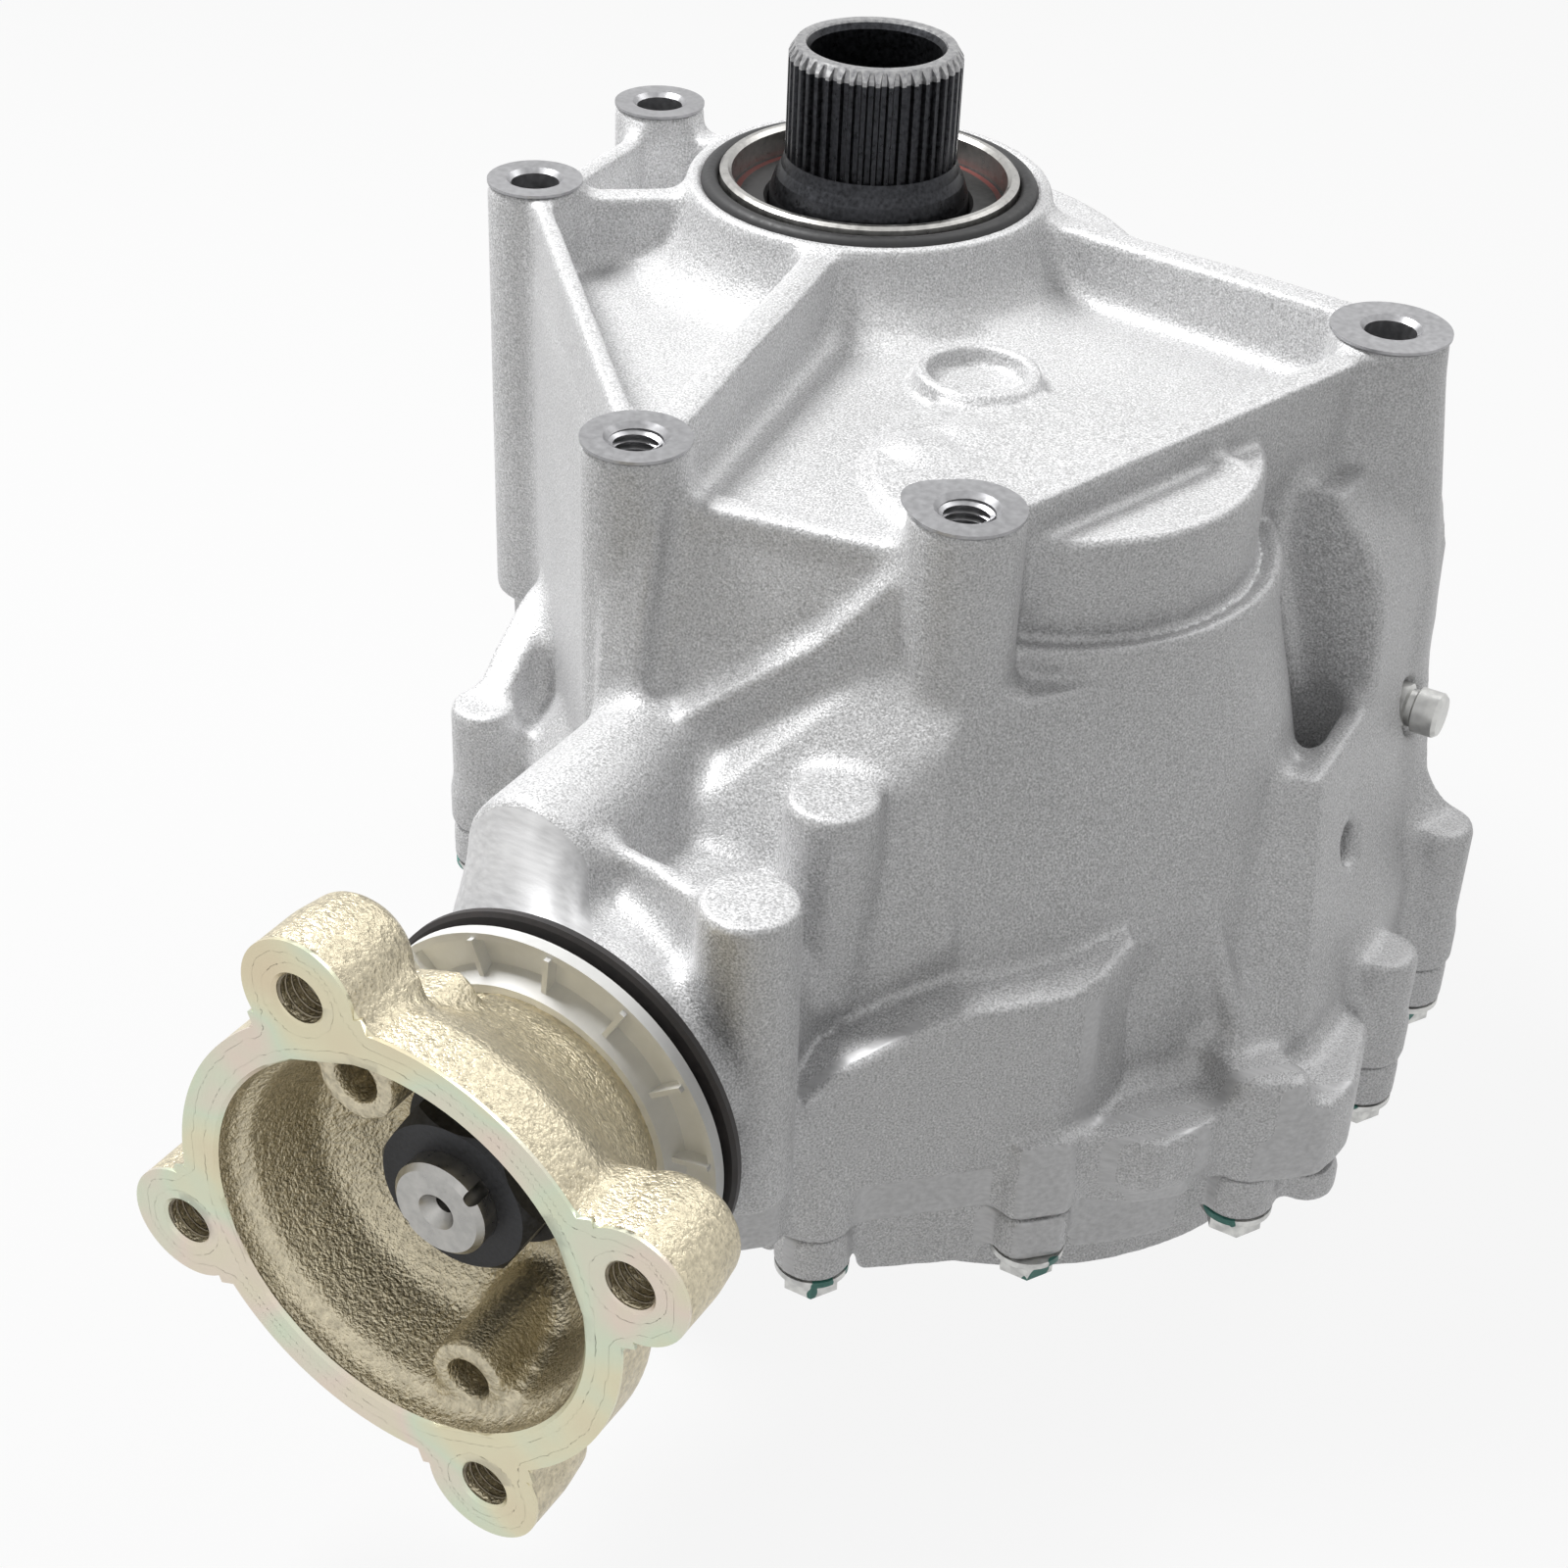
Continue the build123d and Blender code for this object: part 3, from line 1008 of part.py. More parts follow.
def dust_shield():
    """Ribbed plastic shield pressed on the flange's hub in front of the pinion seal."""
    base = SHIELD_S
    dish = turned([(SHIELD_BORE + SEAT_GAP, base), (SHIELD_R - 3, base), (SHIELD_R, base + 1), (SHIELD_R, base + 4),
                   (SHIELD_R - 1.6, base + 4), (SHIELD_R - 1.6, base + 2), (SHIELD_BORE + 4, base + 2),
                   (SHIELD_BORE + 2, base + 7), (SHIELD_BORE + SEAT_GAP, base + 7)])
    length = SHIELD_R - SHIELD_BORE - 2.6
    fin = Pos(SHIELD_BORE + 1.5 + length / 2, 0, base + 3.4) * Box(length, 1.2, 3.6)
    return outwards(dish.fuse(*[Rot(0, 0, 360 / SHIELD_RIBS * k + 8) * fin for k in range(SHIELD_RIBS)]))


def pinion_nut():
    """Hexagon flange nut that clamps the propshaft flange."""
    low = FLANGE_FLOOR_S
    nut = disc(0, 0, NUT_FLANGE_R, low, low + 3)
    nut += Pos(0, 0, low + 3) * extrude(RegularPolygon(NUT_FLATS / 2, 6, major_radius=False), NUT_HEIGHT - 3)
    nut &= turned([(0, low), (NUT_FLANGE_R, low), (NUT_FLANGE_R, low + 2), (NUT_FLATS / 2 + 2.5, low + NUT_HEIGHT - 3),
                   (NUT_FLATS / 2, low + NUT_HEIGHT), (0, low + NUT_HEIGHT)])
    return outwards(nut - disc(0, 0, SHAFT_END_R + SEAT_GAP, low, low + NUT_HEIGHT))


def driven_turn():
    """Turn of the driven gear that puts a gap opposite the input gear's tooth."""
    return COUNTER_BEARING_DEG + 180 + 180 / DRIVEN_TEETH


def write_pieces():
    pieces = {
        "main_housing": main_housing(),
        "end_cover": end_cover(),
        "cover_bolts": cover_bolts(),
        "cover_dowels": cover_dowels(),
        "pilot_oring": pilot_oring(),
        "seal_collar": seal_collar(),
        "input_seal": input_seal(),
        "halfshaft_seal": halfshaft_seal(),
        "pinion_seal": pinion_seal(),
        "vent_plug": vent_plug(),
        "filler_plug": filler_plug(),
        "input_shaft": input_shaft(),
        "input_gear": spur_gear(INPUT_TEETH, INPUT_GEAR_SEAT + SEAT_GAP, 12, SPUR_Z - SPUR_WIDTH, COUNTER_BEARING_DEG),
        "countershaft": countershaft(),
        "driven_gear": at_counter(spur_gear(DRIVEN_TEETH, DRIVEN_GEAR_SEAT + SEAT_GAP, 12, SPUR_Z - SPUR_WIDTH,
                                            driven_turn())),
        "ring_gear": ring_gear(),
        "ring_gear_bolts": ring_gear_bolts(),
        "pinion_shaft": pinion_shaft(),
        "crush_spacer": crush_spacer(),
        "companion_flange": companion_flange(),
        "dust_shield": dust_shield(),
        "pinion_nut": pinion_nut(),
    }
    sets = {
        "input_upper": (INPUT_BEARING, INPUT_TOP_Z, False, lambda piece: piece),
        "input_lower": (INPUT_BEARING, INPUT_LOW_Z, True, lambda piece: piece),
        "counter_upper": (COUNTER_BEARING, COUNTER_TOP_Z, False, at_counter),
        "counter_lower": (COUNTER_BEARING, COUNTER_LOW_Z, True, at_counter),
        "pinion_head": (HEAD_BEARING, HEAD_S, False, outwards),
        "pinion_tail": (TAIL_BEARING, TAIL_S, True, outwards),
    }
    for name, (size, low, big_end_up, place) in sets.items():
        for kind, piece in zip(("cup", "cone", "rollers"), bearing(*size, low, big_end_up)):
            pieces[name + "_" + kind] = place(piece)
    for name, piece in pieces.items():
        export_step(piece, "parts/" + name + ".step")


write_pieces()
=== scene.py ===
import json
import math

import bmesh
import bpy
from bpy.props import FloatProperty, FloatVectorProperty, IntProperty, PointerProperty
from mathutils import Matrix, Vector


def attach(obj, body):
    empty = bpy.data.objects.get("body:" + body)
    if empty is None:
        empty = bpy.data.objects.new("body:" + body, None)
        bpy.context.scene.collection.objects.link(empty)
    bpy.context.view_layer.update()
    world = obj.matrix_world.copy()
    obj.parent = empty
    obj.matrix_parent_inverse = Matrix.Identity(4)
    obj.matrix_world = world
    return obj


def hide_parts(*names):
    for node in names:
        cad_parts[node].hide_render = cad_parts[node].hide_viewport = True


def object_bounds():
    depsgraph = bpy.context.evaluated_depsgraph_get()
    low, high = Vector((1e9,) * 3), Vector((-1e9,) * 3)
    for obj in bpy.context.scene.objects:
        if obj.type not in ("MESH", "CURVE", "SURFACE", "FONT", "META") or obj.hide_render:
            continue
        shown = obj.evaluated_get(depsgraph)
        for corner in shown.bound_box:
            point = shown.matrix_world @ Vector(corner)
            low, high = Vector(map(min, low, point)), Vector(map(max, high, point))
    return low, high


bl_info = {
    "name": "Transfer Case Dressing",
    "version": (1, 0, 0),
    "blender": (4, 5, 0),
    "location": "View3D > Sidebar > Transfer Case",
    "description": "Cast skins, machined rims and finishes for the transfer case",
    "category": "Object",
}

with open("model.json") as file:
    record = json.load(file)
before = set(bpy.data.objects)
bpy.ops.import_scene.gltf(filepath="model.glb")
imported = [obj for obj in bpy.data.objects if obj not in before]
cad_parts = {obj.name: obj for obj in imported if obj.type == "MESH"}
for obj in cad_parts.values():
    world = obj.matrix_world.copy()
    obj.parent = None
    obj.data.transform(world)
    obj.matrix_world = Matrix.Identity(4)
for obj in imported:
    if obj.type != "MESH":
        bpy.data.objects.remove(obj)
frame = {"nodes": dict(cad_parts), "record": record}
CAD_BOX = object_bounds()

# Axes and faces in metres, in the part's own frame: the input axis is Z, the propshaft looks along -Y
COUNTER_AXIS = Vector((0.0963, -0.0873))
PINION_X, PINION_Z = 0.067, -0.1068
PINION = Matrix.Translation((PINION_X, 0, PINION_Z)) @ Matrix.Rotation(math.radians(90), 4, "X")
FLANGE_FACE_Y = -0.299
PLATE_OUT, PLATE_FACE = 0.317, 0.307  # x - y on the milled faces at the foot of the bell

# Hub bosses: x, y, rim radius, bore radius; the threaded ones and the one that is drawn out into its rib
BOSSES = {
    "rear": (-0.0737, 0.0139, 0.0123, 0.0062),
    "left": (-0.0695, -0.0520, 0.0123, 0.0062),
    "front": (0.0312, -0.1592, 0.0123, 0.0051),
    "middle": (0.1049, -0.1476, 0.0125, 0.0051),
    "right": (0.1469, -0.0111, 0.0145, 0.0062),
}
THREADED = ("front", "middle")
BOSS_POINTS = {"middle": (0.0900, -0.1472)}
BORE_SPARE = 0.0016
BORE_WIDER = 0.0018
RIM_CHAMFER = 0.0012
RIM_EDGE = 0.0007
RIM_TAPER = 0.003
RIM_THROAT = 0.005
RIM_WALL = 0.001
RIM_DEPTH = 0.025
PIN_HOLE = 0.0005
MIDDLE_RIB = Vector((0.0420, 0.1365)).normalized()

# M12 threads of the bosses and of the flange's four ears
THREAD_PITCH = 0.00175
THREAD_ROOT, THREAD_CREST, THREAD_SINK = 0.0060, 0.0051, 0.0001
EAR_ROOT, EAR_CREST = 0.0059, 0.005
EAR_CIRCLE = 0.05715
EAR_DEGREES = (19.7, 109.7, 199.7, 289.7)
EAR_THREAD_LOW, EAR_THREAD_HIGH = -0.0215, -0.0012
EAR_SLEEVE = ((0.0062, -0.0003), (0.0066, -0.0003), (0.0066, -0.0225), (0.0058, -0.0225), (0.0058, -0.0009))

# The deck's level round its marks, and the marks as (radius, height) profiles
DECK_LOW, DECK_HIGH, DECK_LEVEL = -0.0215, -0.0165, -0.0222
SOLID_RING, SOLID_RING_REACH = Vector((0.056, -0.045)), 0.0156
SOLID_CIRCLE_REACH, SOLID_CIRCLE_END = 0.0438, 0.126
RING_PLACE = (0.0609, -0.054, 0)
RING = ((0.0158, -0.024), (0.0156, -0.0182), (0.0146, -0.017), (0.013, -0.017), (0.012, -0.0182), (0.0118, -0.024))
RAISED_CIRCLE = ((0, -0.026), (0.0412, -0.026), (0.0412, -0.0205), (0.0405, -0.0198), (0, -0.0198))
DRUM = ((0, -0.05), (0.0552, -0.05), (0.0552, -0.0358), (0.0542, -0.0346), (0.0518, -0.0346), (0.0506, -0.0364),
        (0.0484, -0.0364), (0.0484, -0.0135), (0.0472, -0.012), (0, -0.012))
LUMPS = (  # centre and reach: the drum's wedge, the hump on the raised circle and the swelling beside it
    ((0.1316, -0.0765, -0.013), (0.009, 0.004, 0.0032)),
    ((0.0675, -0.095, -0.0215), (0.0105, 0.009, 0.0042)),
    ((0.0715, -0.081, -0.0215), (0.0075, 0.0075, 0.0036)),
)

# Forms on the front of the casting, in millimetres
SWELLING = ((98, -154, -32), (86.4, -160, -44), (74.4, -166, -53), (63, -172, -60), (55.6, -176, -66),
            (113, -162, -46), (97, -182, -74), (98, -189, -92), (98, -192, -114), (108, -181, -90),
            (112, -178, -104), (122, -174, -88), (123, -170, -98), (70, -192, -78), (84, -190, -86),
            (60, -190, -72), (60, -180, -110), (100, -150, -110), (120, -150, -110))
POCKET_FLOOR = ((45, -161, -17), (56, -159.3, -20), (72, -156.8, -18), (85, -154.8, -19.4), (90, -150, -16),
                (81.1, -155.6, -28), (70.2, -161, -37), (59.1, -166.5, -46), (49.7, -171.2, -53), (40, -166, -52),
                (38, -160, -50), (60, -150, -50))
PILLAR_WEB = ((62, -212, -62), (66, -216, -62), (97, -228, -59), (101, -220, -59), (60, -212, -90),
              (66, -218, -90), (97, -228, -95), (101, -218, -95))
PAD = ((148.9, -161.9), (145.0, -145.2), (162.5, -127.2), (165.1, -123.9), (178.8, -131.4), (172.8, -146.5),
       (169.0, -155.2), (158.9, -158.4))
PAD_LEVELS = (-153, -139)
LEDGE = ((103.0, -204.0, -121.0), (109.7, -197.3, -114.0), (121.8, -185.2, -106.3), (128.4, -178.6, -103.4),
         (144.3, -162.7, -102.4), (148.6, -153.5, -101.0), (149.6, -139.0, -99.5))
LEDGE_TOP = ((2.2, 2.4), (1.4, 3.2), (-6, 4.2))  # how far out, how far up
LEDGE_FOOT, LEDGE_LOW = (2.2, -7), -146

# Pillars in metres: x, y, radius at the foot, radius at the top, height of the foot
PILLARS = ((0.0962, -0.1827, 0.0108, 0.0104, -0.105), (0.1003, -0.2237, 0.0112, 0.0108, -0.13))
PILLAR_TOP = -0.055

SHARP_ANGLE = math.radians(35)
TURNED_STEPS = 96
THREAD_STEPS = 24

CAMERA_PLACE = (0.31588, -0.5999, 0.26549)
CAMERA_AXES = ((0.86138853, 0.5066667, 0.0360367), (-0.30959843, 0.46745739, 0.82802922),
               (0.40268922, -0.72441179, 0.55952566))
CAMERA_LENS = 62.66
LAMPS = (  # name, place, width, share of the key lamp's power
    ("key", (-0.6, -0.16, 0.93), 0.36, 1.12),
    ("fill", (0.7, -1.1, 0.7), 0.9, 0.05),
    ("back", (0.35, 0.7, 0.9), 0.6, 0.3),
)
LAMP_TARGET = Vector((0.06, -0.1, -0.1))


# Settings

class CastingSettings(bpy.types.PropertyGroup):
    """How the cast skins are laid over the solids"""
    grid: FloatProperty(name="Skin grid", description="Spacing of the casting's skin", default=0.0012, unit="LENGTH")
    fillet: FloatProperty(name="Foundry fillet", description="Radius left in inside corners", default=0.0024,
                          unit="LENGTH")
    flange_grid: FloatProperty(name="Flange grid", description="Spacing of the flange's skin", default=0.001,
                               unit="LENGTH")
    flange_fillet: FloatProperty(name="Flange fillet", description="Radius left in the flange's inside corners",
                                 default=0.002, unit="LENGTH")
    passes: IntProperty(name="Smoothing passes", description="How often the skin is eased", default=1)
    budget: IntProperty(name="Triangle budget", description="Most triangles in one casting", default=185000)


class FinishSettings(bpy.types.PropertyGroup):
    """Colours of the finishes"""
    aluminium: FloatVectorProperty(name="Blasted aluminium", description="Colour of the die castings", size=3,
                                   subtype="COLOR", default=(0.66, 0.66, 0.665))
    milled: FloatVectorProperty(name="Milled aluminium", description="Colour of the milled faces", size=3,
                                subtype="COLOR", default=(0.36, 0.36, 0.37))
    phosphate: FloatVectorProperty(name="Phosphated steel", description="Colour of the dark steel", size=3,
                                   subtype="COLOR", default=(0.035, 0.036, 0.04))
    gold_zinc: FloatVectorProperty(name="Gold zinc", description="Colour of the plated flange", size=3,
                                   subtype="COLOR", default=(0.60, 0.54, 0.40))
    shield: FloatVectorProperty(name="Shield plastic", description="Colour of the dust shield", size=3,
                                subtype="COLOR", default=(0.86, 0.86, 0.84))


class StageSettings(bpy.types.PropertyGroup):
    """Floor and light round the part"""
    floor: FloatVectorProperty(name="Floor", description="Colour of the floor", size=3, subtype="COLOR",
                               default=(0.6, 0.6, 0.6))
    paper: FloatProperty(name="Paper white", description="Share of the floor that is seen as plain white",
                         default=0.9, subtype="FACTOR")
    key_power: FloatProperty(name="Key lamp", description="Power of the large overhead lamp", default=14.0,
                             unit="POWER")


# Finishes

class Wiring:
    """The nodes of one material or of the sky, with a call for each step that the finishes share."""

    def __init__(self, owner):
        owner.use_nodes = True
        self.owner = owner
        self.nodes = owner.node_tree.nodes
        self.links = owner.node_tree.links

    def feed(self, socket, value):
        """Gives a socket a number, a colour or another node's output."""
        if isinstance(value, bpy.types.NodeSocket):
            self.links.new(value, socket)
        elif isinstance(value, tuple):
            socket.default_value = (*value, 1)
        else:
            socket.default_value = value

    def place(self):
        """The place on the part."""
        return self.nodes.new("ShaderNodeTexCoord").outputs["Object"]

    def axes(self, place):
        node = self.nodes.new("ShaderNodeSeparateXYZ")
        self.feed(node.inputs[0], place)
        return node.outputs

    def stretched(self, place, scale):
        """A place drawn out along one axis, for milled strokes."""
        node = self.nodes.new("ShaderNodeMapping")
        node.inputs["Scale"].default_value = scale
        self.feed(node.inputs["Vector"], place)
        return node.outputs["Vector"]

    def noise(self, place, scale, detail):
        node = self.nodes.new("ShaderNodeTexNoise")
        for name, value in (("Vector", place), ("Scale", scale), ("Detail", detail)):
            self.feed(node.inputs[name], value)
        return node.outputs["Fac"]

    def reckon(self, operation, *values):
        """A sum of one or two values."""
        node = self.nodes.new("ShaderNodeMath")
        node.operation = operation
        for socket, value in zip(node.inputs, values):
            self.feed(socket, value)
        return node.outputs[0]

    def mixed(self, first, second, share):
        """The first value by its share, the second by the rest."""
        rest = self.reckon("MULTIPLY", second, 1 - share)
        return self.reckon("ADD", self.reckon("MULTIPLY", first, share), rest)

    def near(self, value, target, reach):
        """1 where a value lies within reach of a target, else 0."""
        off = self.reckon("ABSOLUTE", self.reckon("SUBTRACT", value, target))
        return self.reckon("LESS_THAN", off, reach)

    def less(self, value, mask, share):
        """A value that a mask brings down by a share."""
        kept = self.reckon("SUBTRACT", 1.0, self.reckon("MULTIPLY", mask, share))
        return self.reckon("MULTIPLY", value, kept)

    def from_axis(self, x, y):
        """Distance from the input axis."""
        squares = self.reckon("ADD", self.reckon("MULTIPLY", x, x), self.reckon("MULTIPLY", y, y))
        return self.reckon("SQRT", squares)

    def ramp(self, value, stops):
        """Colours that follow a value through some stops."""
        node = self.nodes.new("ShaderNodeValToRGB")
        band = node.color_ramp.elements
        band[0].position, band[1].position = stops[0][0], stops[-1][0]
        for stop in stops[1:-1]:
            band.new(stop[0])
        for element, stop in zip(band, stops):
            element.color = (*stop[1], 1)
        self.feed(node.inputs["Fac"], value)
        return node.outputs["Color"]

    def greys(self, value, low, high):
        """A grey that follows the middle of a noise from one level to another."""
        return self.ramp(value, [(0.3, (low,) * 3), (0.7, (high,) * 3)])

    def blend(self, share, first, second):
        """The first colour where the share is 0, the second where it is 1."""
        node = self.nodes.new("ShaderNodeMix")
        node.data_type = "RGBA"
        for name, value in (("Factor", share), ("A", first), ("B", second)):
            self.feed(node.inputs[name], value)
        return node.outputs["Result"]

    def surface(self, colour, rough, metallic, height, strength, distance):
        """Puts colour, roughness, metal and grain on the shader and hands over the material."""
        shader = self.nodes["Principled BSDF"]
        for name, value in (("Base Color", colour), ("Roughness", rough), ("Metallic", metallic)):
            self.feed(shader.inputs[name], value)
        grain = self.nodes.new("ShaderNodeBump")
        for name, value in (("Strength", strength), ("Distance", distance), ("Height", height)):
            self.feed(grain.inputs[name], value)
        self.feed(shader.inputs["Normal"], grain.outputs["Normal"])
        return self.owner


def tint(colour, factor):
    return tuple(min(1.0, c * factor) for c in colour)


def speckled(name, low, high, metallic, rough, grain, strength, distance):
    """A finish whose tone drifts between two colours, with a fine grain."""
    wiring = Wiring(bpy.data.materials.new(name))
    place = wiring.place()
    fine = wiring.noise(place, grain, 4.0)
    cloud = wiring.noise(place, 40.0, 2.0)
    colour = wiring.ramp(wiring.mixed(fine, cloud, 0.6), [(0.36, low), (0.64, high)])
    return wiring.surface(colour, wiring.greys(fine, *rough), metallic, fine, strength, distance)


def blasted_aluminium():
    """Blasted casting: bright grit all over, smooth and brushed on the milled plate and the milled patch."""
    base = tuple(bpy.context.scene.case_finishes.aluminium)
    wiring = Wiring(bpy.data.materials.new("blasted_aluminium"))
    place = wiring.place()
    x, y, z = wiring.axes(place)
    grit = wiring.noise(place, 2100.0, 1.0)
    lumps = wiring.noise(place, 700.0, 2.0)
    cloud = wiring.noise(place, 16.0, 3.0)
    cast = wiring.ramp(wiring.mixed(grit, cloud, 0.85),
                       [(0.34, tint(base, 0.66)), (0.5, base), (0.62, tint(base, 1.2)), (0.7, tint(base, 1.45))])
    out = wiring.reckon("SUBTRACT", x, y)
    on_plate = wiring.reckon("MAXIMUM", wiring.near(out, PLATE_OUT, 0.0012),
                             wiring.near(out, PLATE_FACE, 0.0018))
    plate = wiring.reckon("MULTIPLY", on_plate, wiring.reckon("LESS_THAN", z, -0.103))
    edge = wiring.reckon("ADD", wiring.reckon("MULTIPLY", y, 0.776), x)
    on_tube = wiring.reckon("MULTIPLY", wiring.reckon("LESS_THAN", y, -0.2225),
                            wiring.reckon("GREATER_THAN", z, -0.082))
    patch = wiring.reckon("MULTIPLY", wiring.reckon("LESS_THAN", edge, -0.1119), on_tube)
    milled = wiring.reckon("MAXIMUM", plate, patch)
    strokes = wiring.noise(wiring.stretched(place, (60.0, 900.0, 900.0)), 1.0, 2.0)
    smooth = wiring.ramp(strokes, [(0.3, tint(base, 0.86)), (0.7, tint(base, 1.08))])
    colour = wiring.blend(milled, cast, smooth)
    rough = wiring.blend(milled, wiring.greys(grit, 0.38, 0.6), (0.42, 0.42, 0.42))
    height = wiring.less(wiring.mixed(grit, lumps, 0.5), milled, 0.9)
    return wiring.surface(colour, rough, 0.3, height, 0.7, 0.0004)


def splined_steel():
    """Black shaft with bright tooth ends and a bright mouth."""
    dark = tuple(bpy.context.scene.case_finishes.phosphate)
    wiring = Wiring(bpy.data.materials.new("splined_steel"))
    place = wiring.place()
    x, y, z = wiring.axes(place)
    fine = wiring.noise(place, 900.0, 3.0)
    black = wiring.ramp(fine, [(0.3, tint(dark, 0.6)), (0.7, tint(dark, 1.5))])
    worn = wiring.ramp(fine, [(0.35, (0.26, 0.26, 0.27)), (0.65, (0.42, 0.42, 0.42))])
    tooth_ends = wiring.reckon("MULTIPLY", wiring.near(z, 0.0338, 0.0024),
                               wiring.reckon("GREATER_THAN", wiring.from_axis(x, y), 0.0208))
    mouth = wiring.reckon("GREATER_THAN", z, 0.0346)
    colour = wiring.blend(wiring.reckon("MAXIMUM", tooth_ends, mouth), black, worn)
    return wiring.surface(colour, wiring.greys(fine, 0.26, 0.42), 0.9, fine, 0.12, 0.0002)


def plated_iron():
    """Gold zinc over rough cast iron, with a smooth machined face that shimmers faintly."""
    gold = tuple(bpy.context.scene.case_finishes.gold_zinc)
    wiring = Wiring(bpy.data.materials.new("gold_plated_iron"))
    place = wiring.place()
    y = wiring.axes(place)[1]
    fine = wiring.noise(place, 1500.0, 2.0)
    lumps = wiring.noise(place, 620.0, 1.0)
    cloud = wiring.noise(place, 26.0, 2.0)
    crust = wiring.mixed(fine, lumps, 0.5)
    cast = wiring.ramp(wiring.mixed(crust, cloud, 0.8),
                       [(0.34, tint(gold, 0.7)), (0.5, gold), (0.66, tint(gold, 1.3))])
    shimmer = wiring.ramp(cloud, [(0.3, (0.72, 0.62, 0.44)), (0.43, (0.74, 0.7, 0.5)), (0.52, (0.66, 0.72, 0.56)),
                                  (0.6, (0.76, 0.66, 0.56)), (0.7, (0.72, 0.7, 0.5))])
    face = wiring.reckon("LESS_THAN", y, FLANGE_FACE_Y + 0.0008)
    rough = wiring.blend(face, wiring.greys(fine, 0.32, 0.5), (0.34, 0.34, 0.34))
    colour = wiring.blend(face, cast, shimmer)
    return wiring.surface(colour, rough, 0.9, wiring.less(crust, face, 0.92), 0.8, 0.0008)


def marked_zinc():
    """Zinc plate with dabs of green marking paint on the bolt heads."""
    wiring = Wiring(bpy.data.materials.new("marked_zinc"))
    place = wiring.place()
    fine = wiring.noise(place, 420.0, 3.0)
    zinc = wiring.ramp(fine, [(0.36, (0.46, 0.46, 0.45)), (0.64, (0.66, 0.66, 0.64))])
    painted = wiring.reckon("GREATER_THAN", wiring.noise(place, 115.0, 1.0), 0.6)
    colour = wiring.blend(painted, zinc, (0.08, 0.3, 0.25))
    bare = wiring.reckon("SUBTRACT", 1.0, painted)
    return wiring.surface(colour, wiring.greys(fine, 0.28, 0.45), bare, fine, 0.15, 0.0002)


def lipped_rubber():
    """Black seal with a reddish lip near its rim."""
    wiring = Wiring(bpy.data.materials.new("lipped_rubber"))
    place = wiring.place()
    x, y = wiring.axes(place)[:2]
    fine = wiring.noise(place, 500.0, 3.0)
    black = wiring.ramp(fine, [(0.3, (0.01, 0.01, 0.01)), (0.7, (0.03, 0.028, 0.028))])
    red = wiring.ramp(fine, [(0.3, (0.14, 0.02, 0.015)), (0.7, (0.24, 0.05, 0.04))])
    lip = wiring.near(wiring.from_axis(x, y), 0.0345, 0.0008)
    return wiring.surface(wiring.blend(lip, black, red), wiring.greys(fine, 0.4, 0.6), 0.0, fine, 0.2, 0.0002)


def tapped_iron():
    """Oily cut threads."""
    return speckled("tapped_iron", (0.1, 0.085, 0.06), (0.3, 0.26, 0.19), 0.9, (0.25, 0.4), 500.0, 0.1, 0.0001)


def milled_aluminium():
    """Bare faces that a cutter has gone over."""
    milled = bpy.context.scene.case_finishes.milled
    return speckled("milled_aluminium", tint(milled, 0.85), tint(milled, 1.15), 0.9, (0.3, 0.42),
                    600.0, 0.15, 0.0001)


def shield_plastic():
    """Milky plastic that lets some light through."""
    shield = tuple(bpy.context.scene.case_finishes.shield)
    material = speckled("shield_plastic", tint(shield, 0.93), shield, 0.0, (0.4, 0.5), 300.0, 0.08, 0.0002)
    shader = material.node_tree.nodes["Principled BSDF"]
    shader.inputs["Subsurface Weight"].default_value = 0.25
    shader.inputs["Subsurface Radius"].default_value = (0.004, 0.004, 0.004)
    return material


def slot_finishes():
    """The finish for each material slot of the pieces that are shown as the source makes them."""
    dark = bpy.context.scene.case_finishes.phosphate
    return {
        "cast_aluminium": blasted_aluminium(),
        "plated_iron": plated_iron(),
        "shield_plastic": shield_plastic(),
        "bearing_steel": speckled("ground_steel", (0.42, 0.42, 0.43), (0.58, 0.58, 0.59), 1.0, (0.22, 0.34),
                                  900.0, 0.1, 0.0001),
        "turned_steel": speckled("turned_steel", (0.38, 0.375, 0.36), (0.52, 0.51, 0.49), 1.0, (0.26, 0.4),
                                 500.0, 0.12, 0.0001),
        "gear_steel": speckled("gear_steel", (0.3, 0.3, 0.31), (0.46, 0.46, 0.47), 1.0, (0.3, 0.42),
                               400.0, 0.12, 0.0001),
        "dark_steel": speckled("phosphated_steel", tint(dark, 0.7), tint(dark, 1.6), 0.6, (0.36, 0.55),
                               900.0, 0.3, 0.0002),
        "zinc_plated_steel": speckled("zinc_plate", (0.5, 0.5, 0.49), (0.68, 0.68, 0.66), 1.0, (0.3, 0.45),
                                      420.0, 0.15, 0.0001),
        "black_rubber": speckled("black_rubber", (0.012, 0.012, 0.013), (0.03, 0.03, 0.031), 0.0, (0.45, 0.65),
                                 700.0, 0.2, 0.0002),
        "seal_rubber": speckled("seal_rubber", (0.016, 0.014, 0.014), (0.04, 0.034, 0.033), 0.0, (0.5, 0.7),
                                700.0, 0.2, 0.0002),
    }


# Meshes

def piece(name, shape, finish, body):
    """A finished object from a bmesh, riding on a body."""
    mesh = bpy.data.meshes.new(name)
    shape.to_mesh(mesh)
    shape.free()
    thing = bpy.data.objects.new(name, mesh)
    bpy.context.scene.collection.objects.link(thing)
    mesh.materials.append(finish)
    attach(thing, body)
    return thing


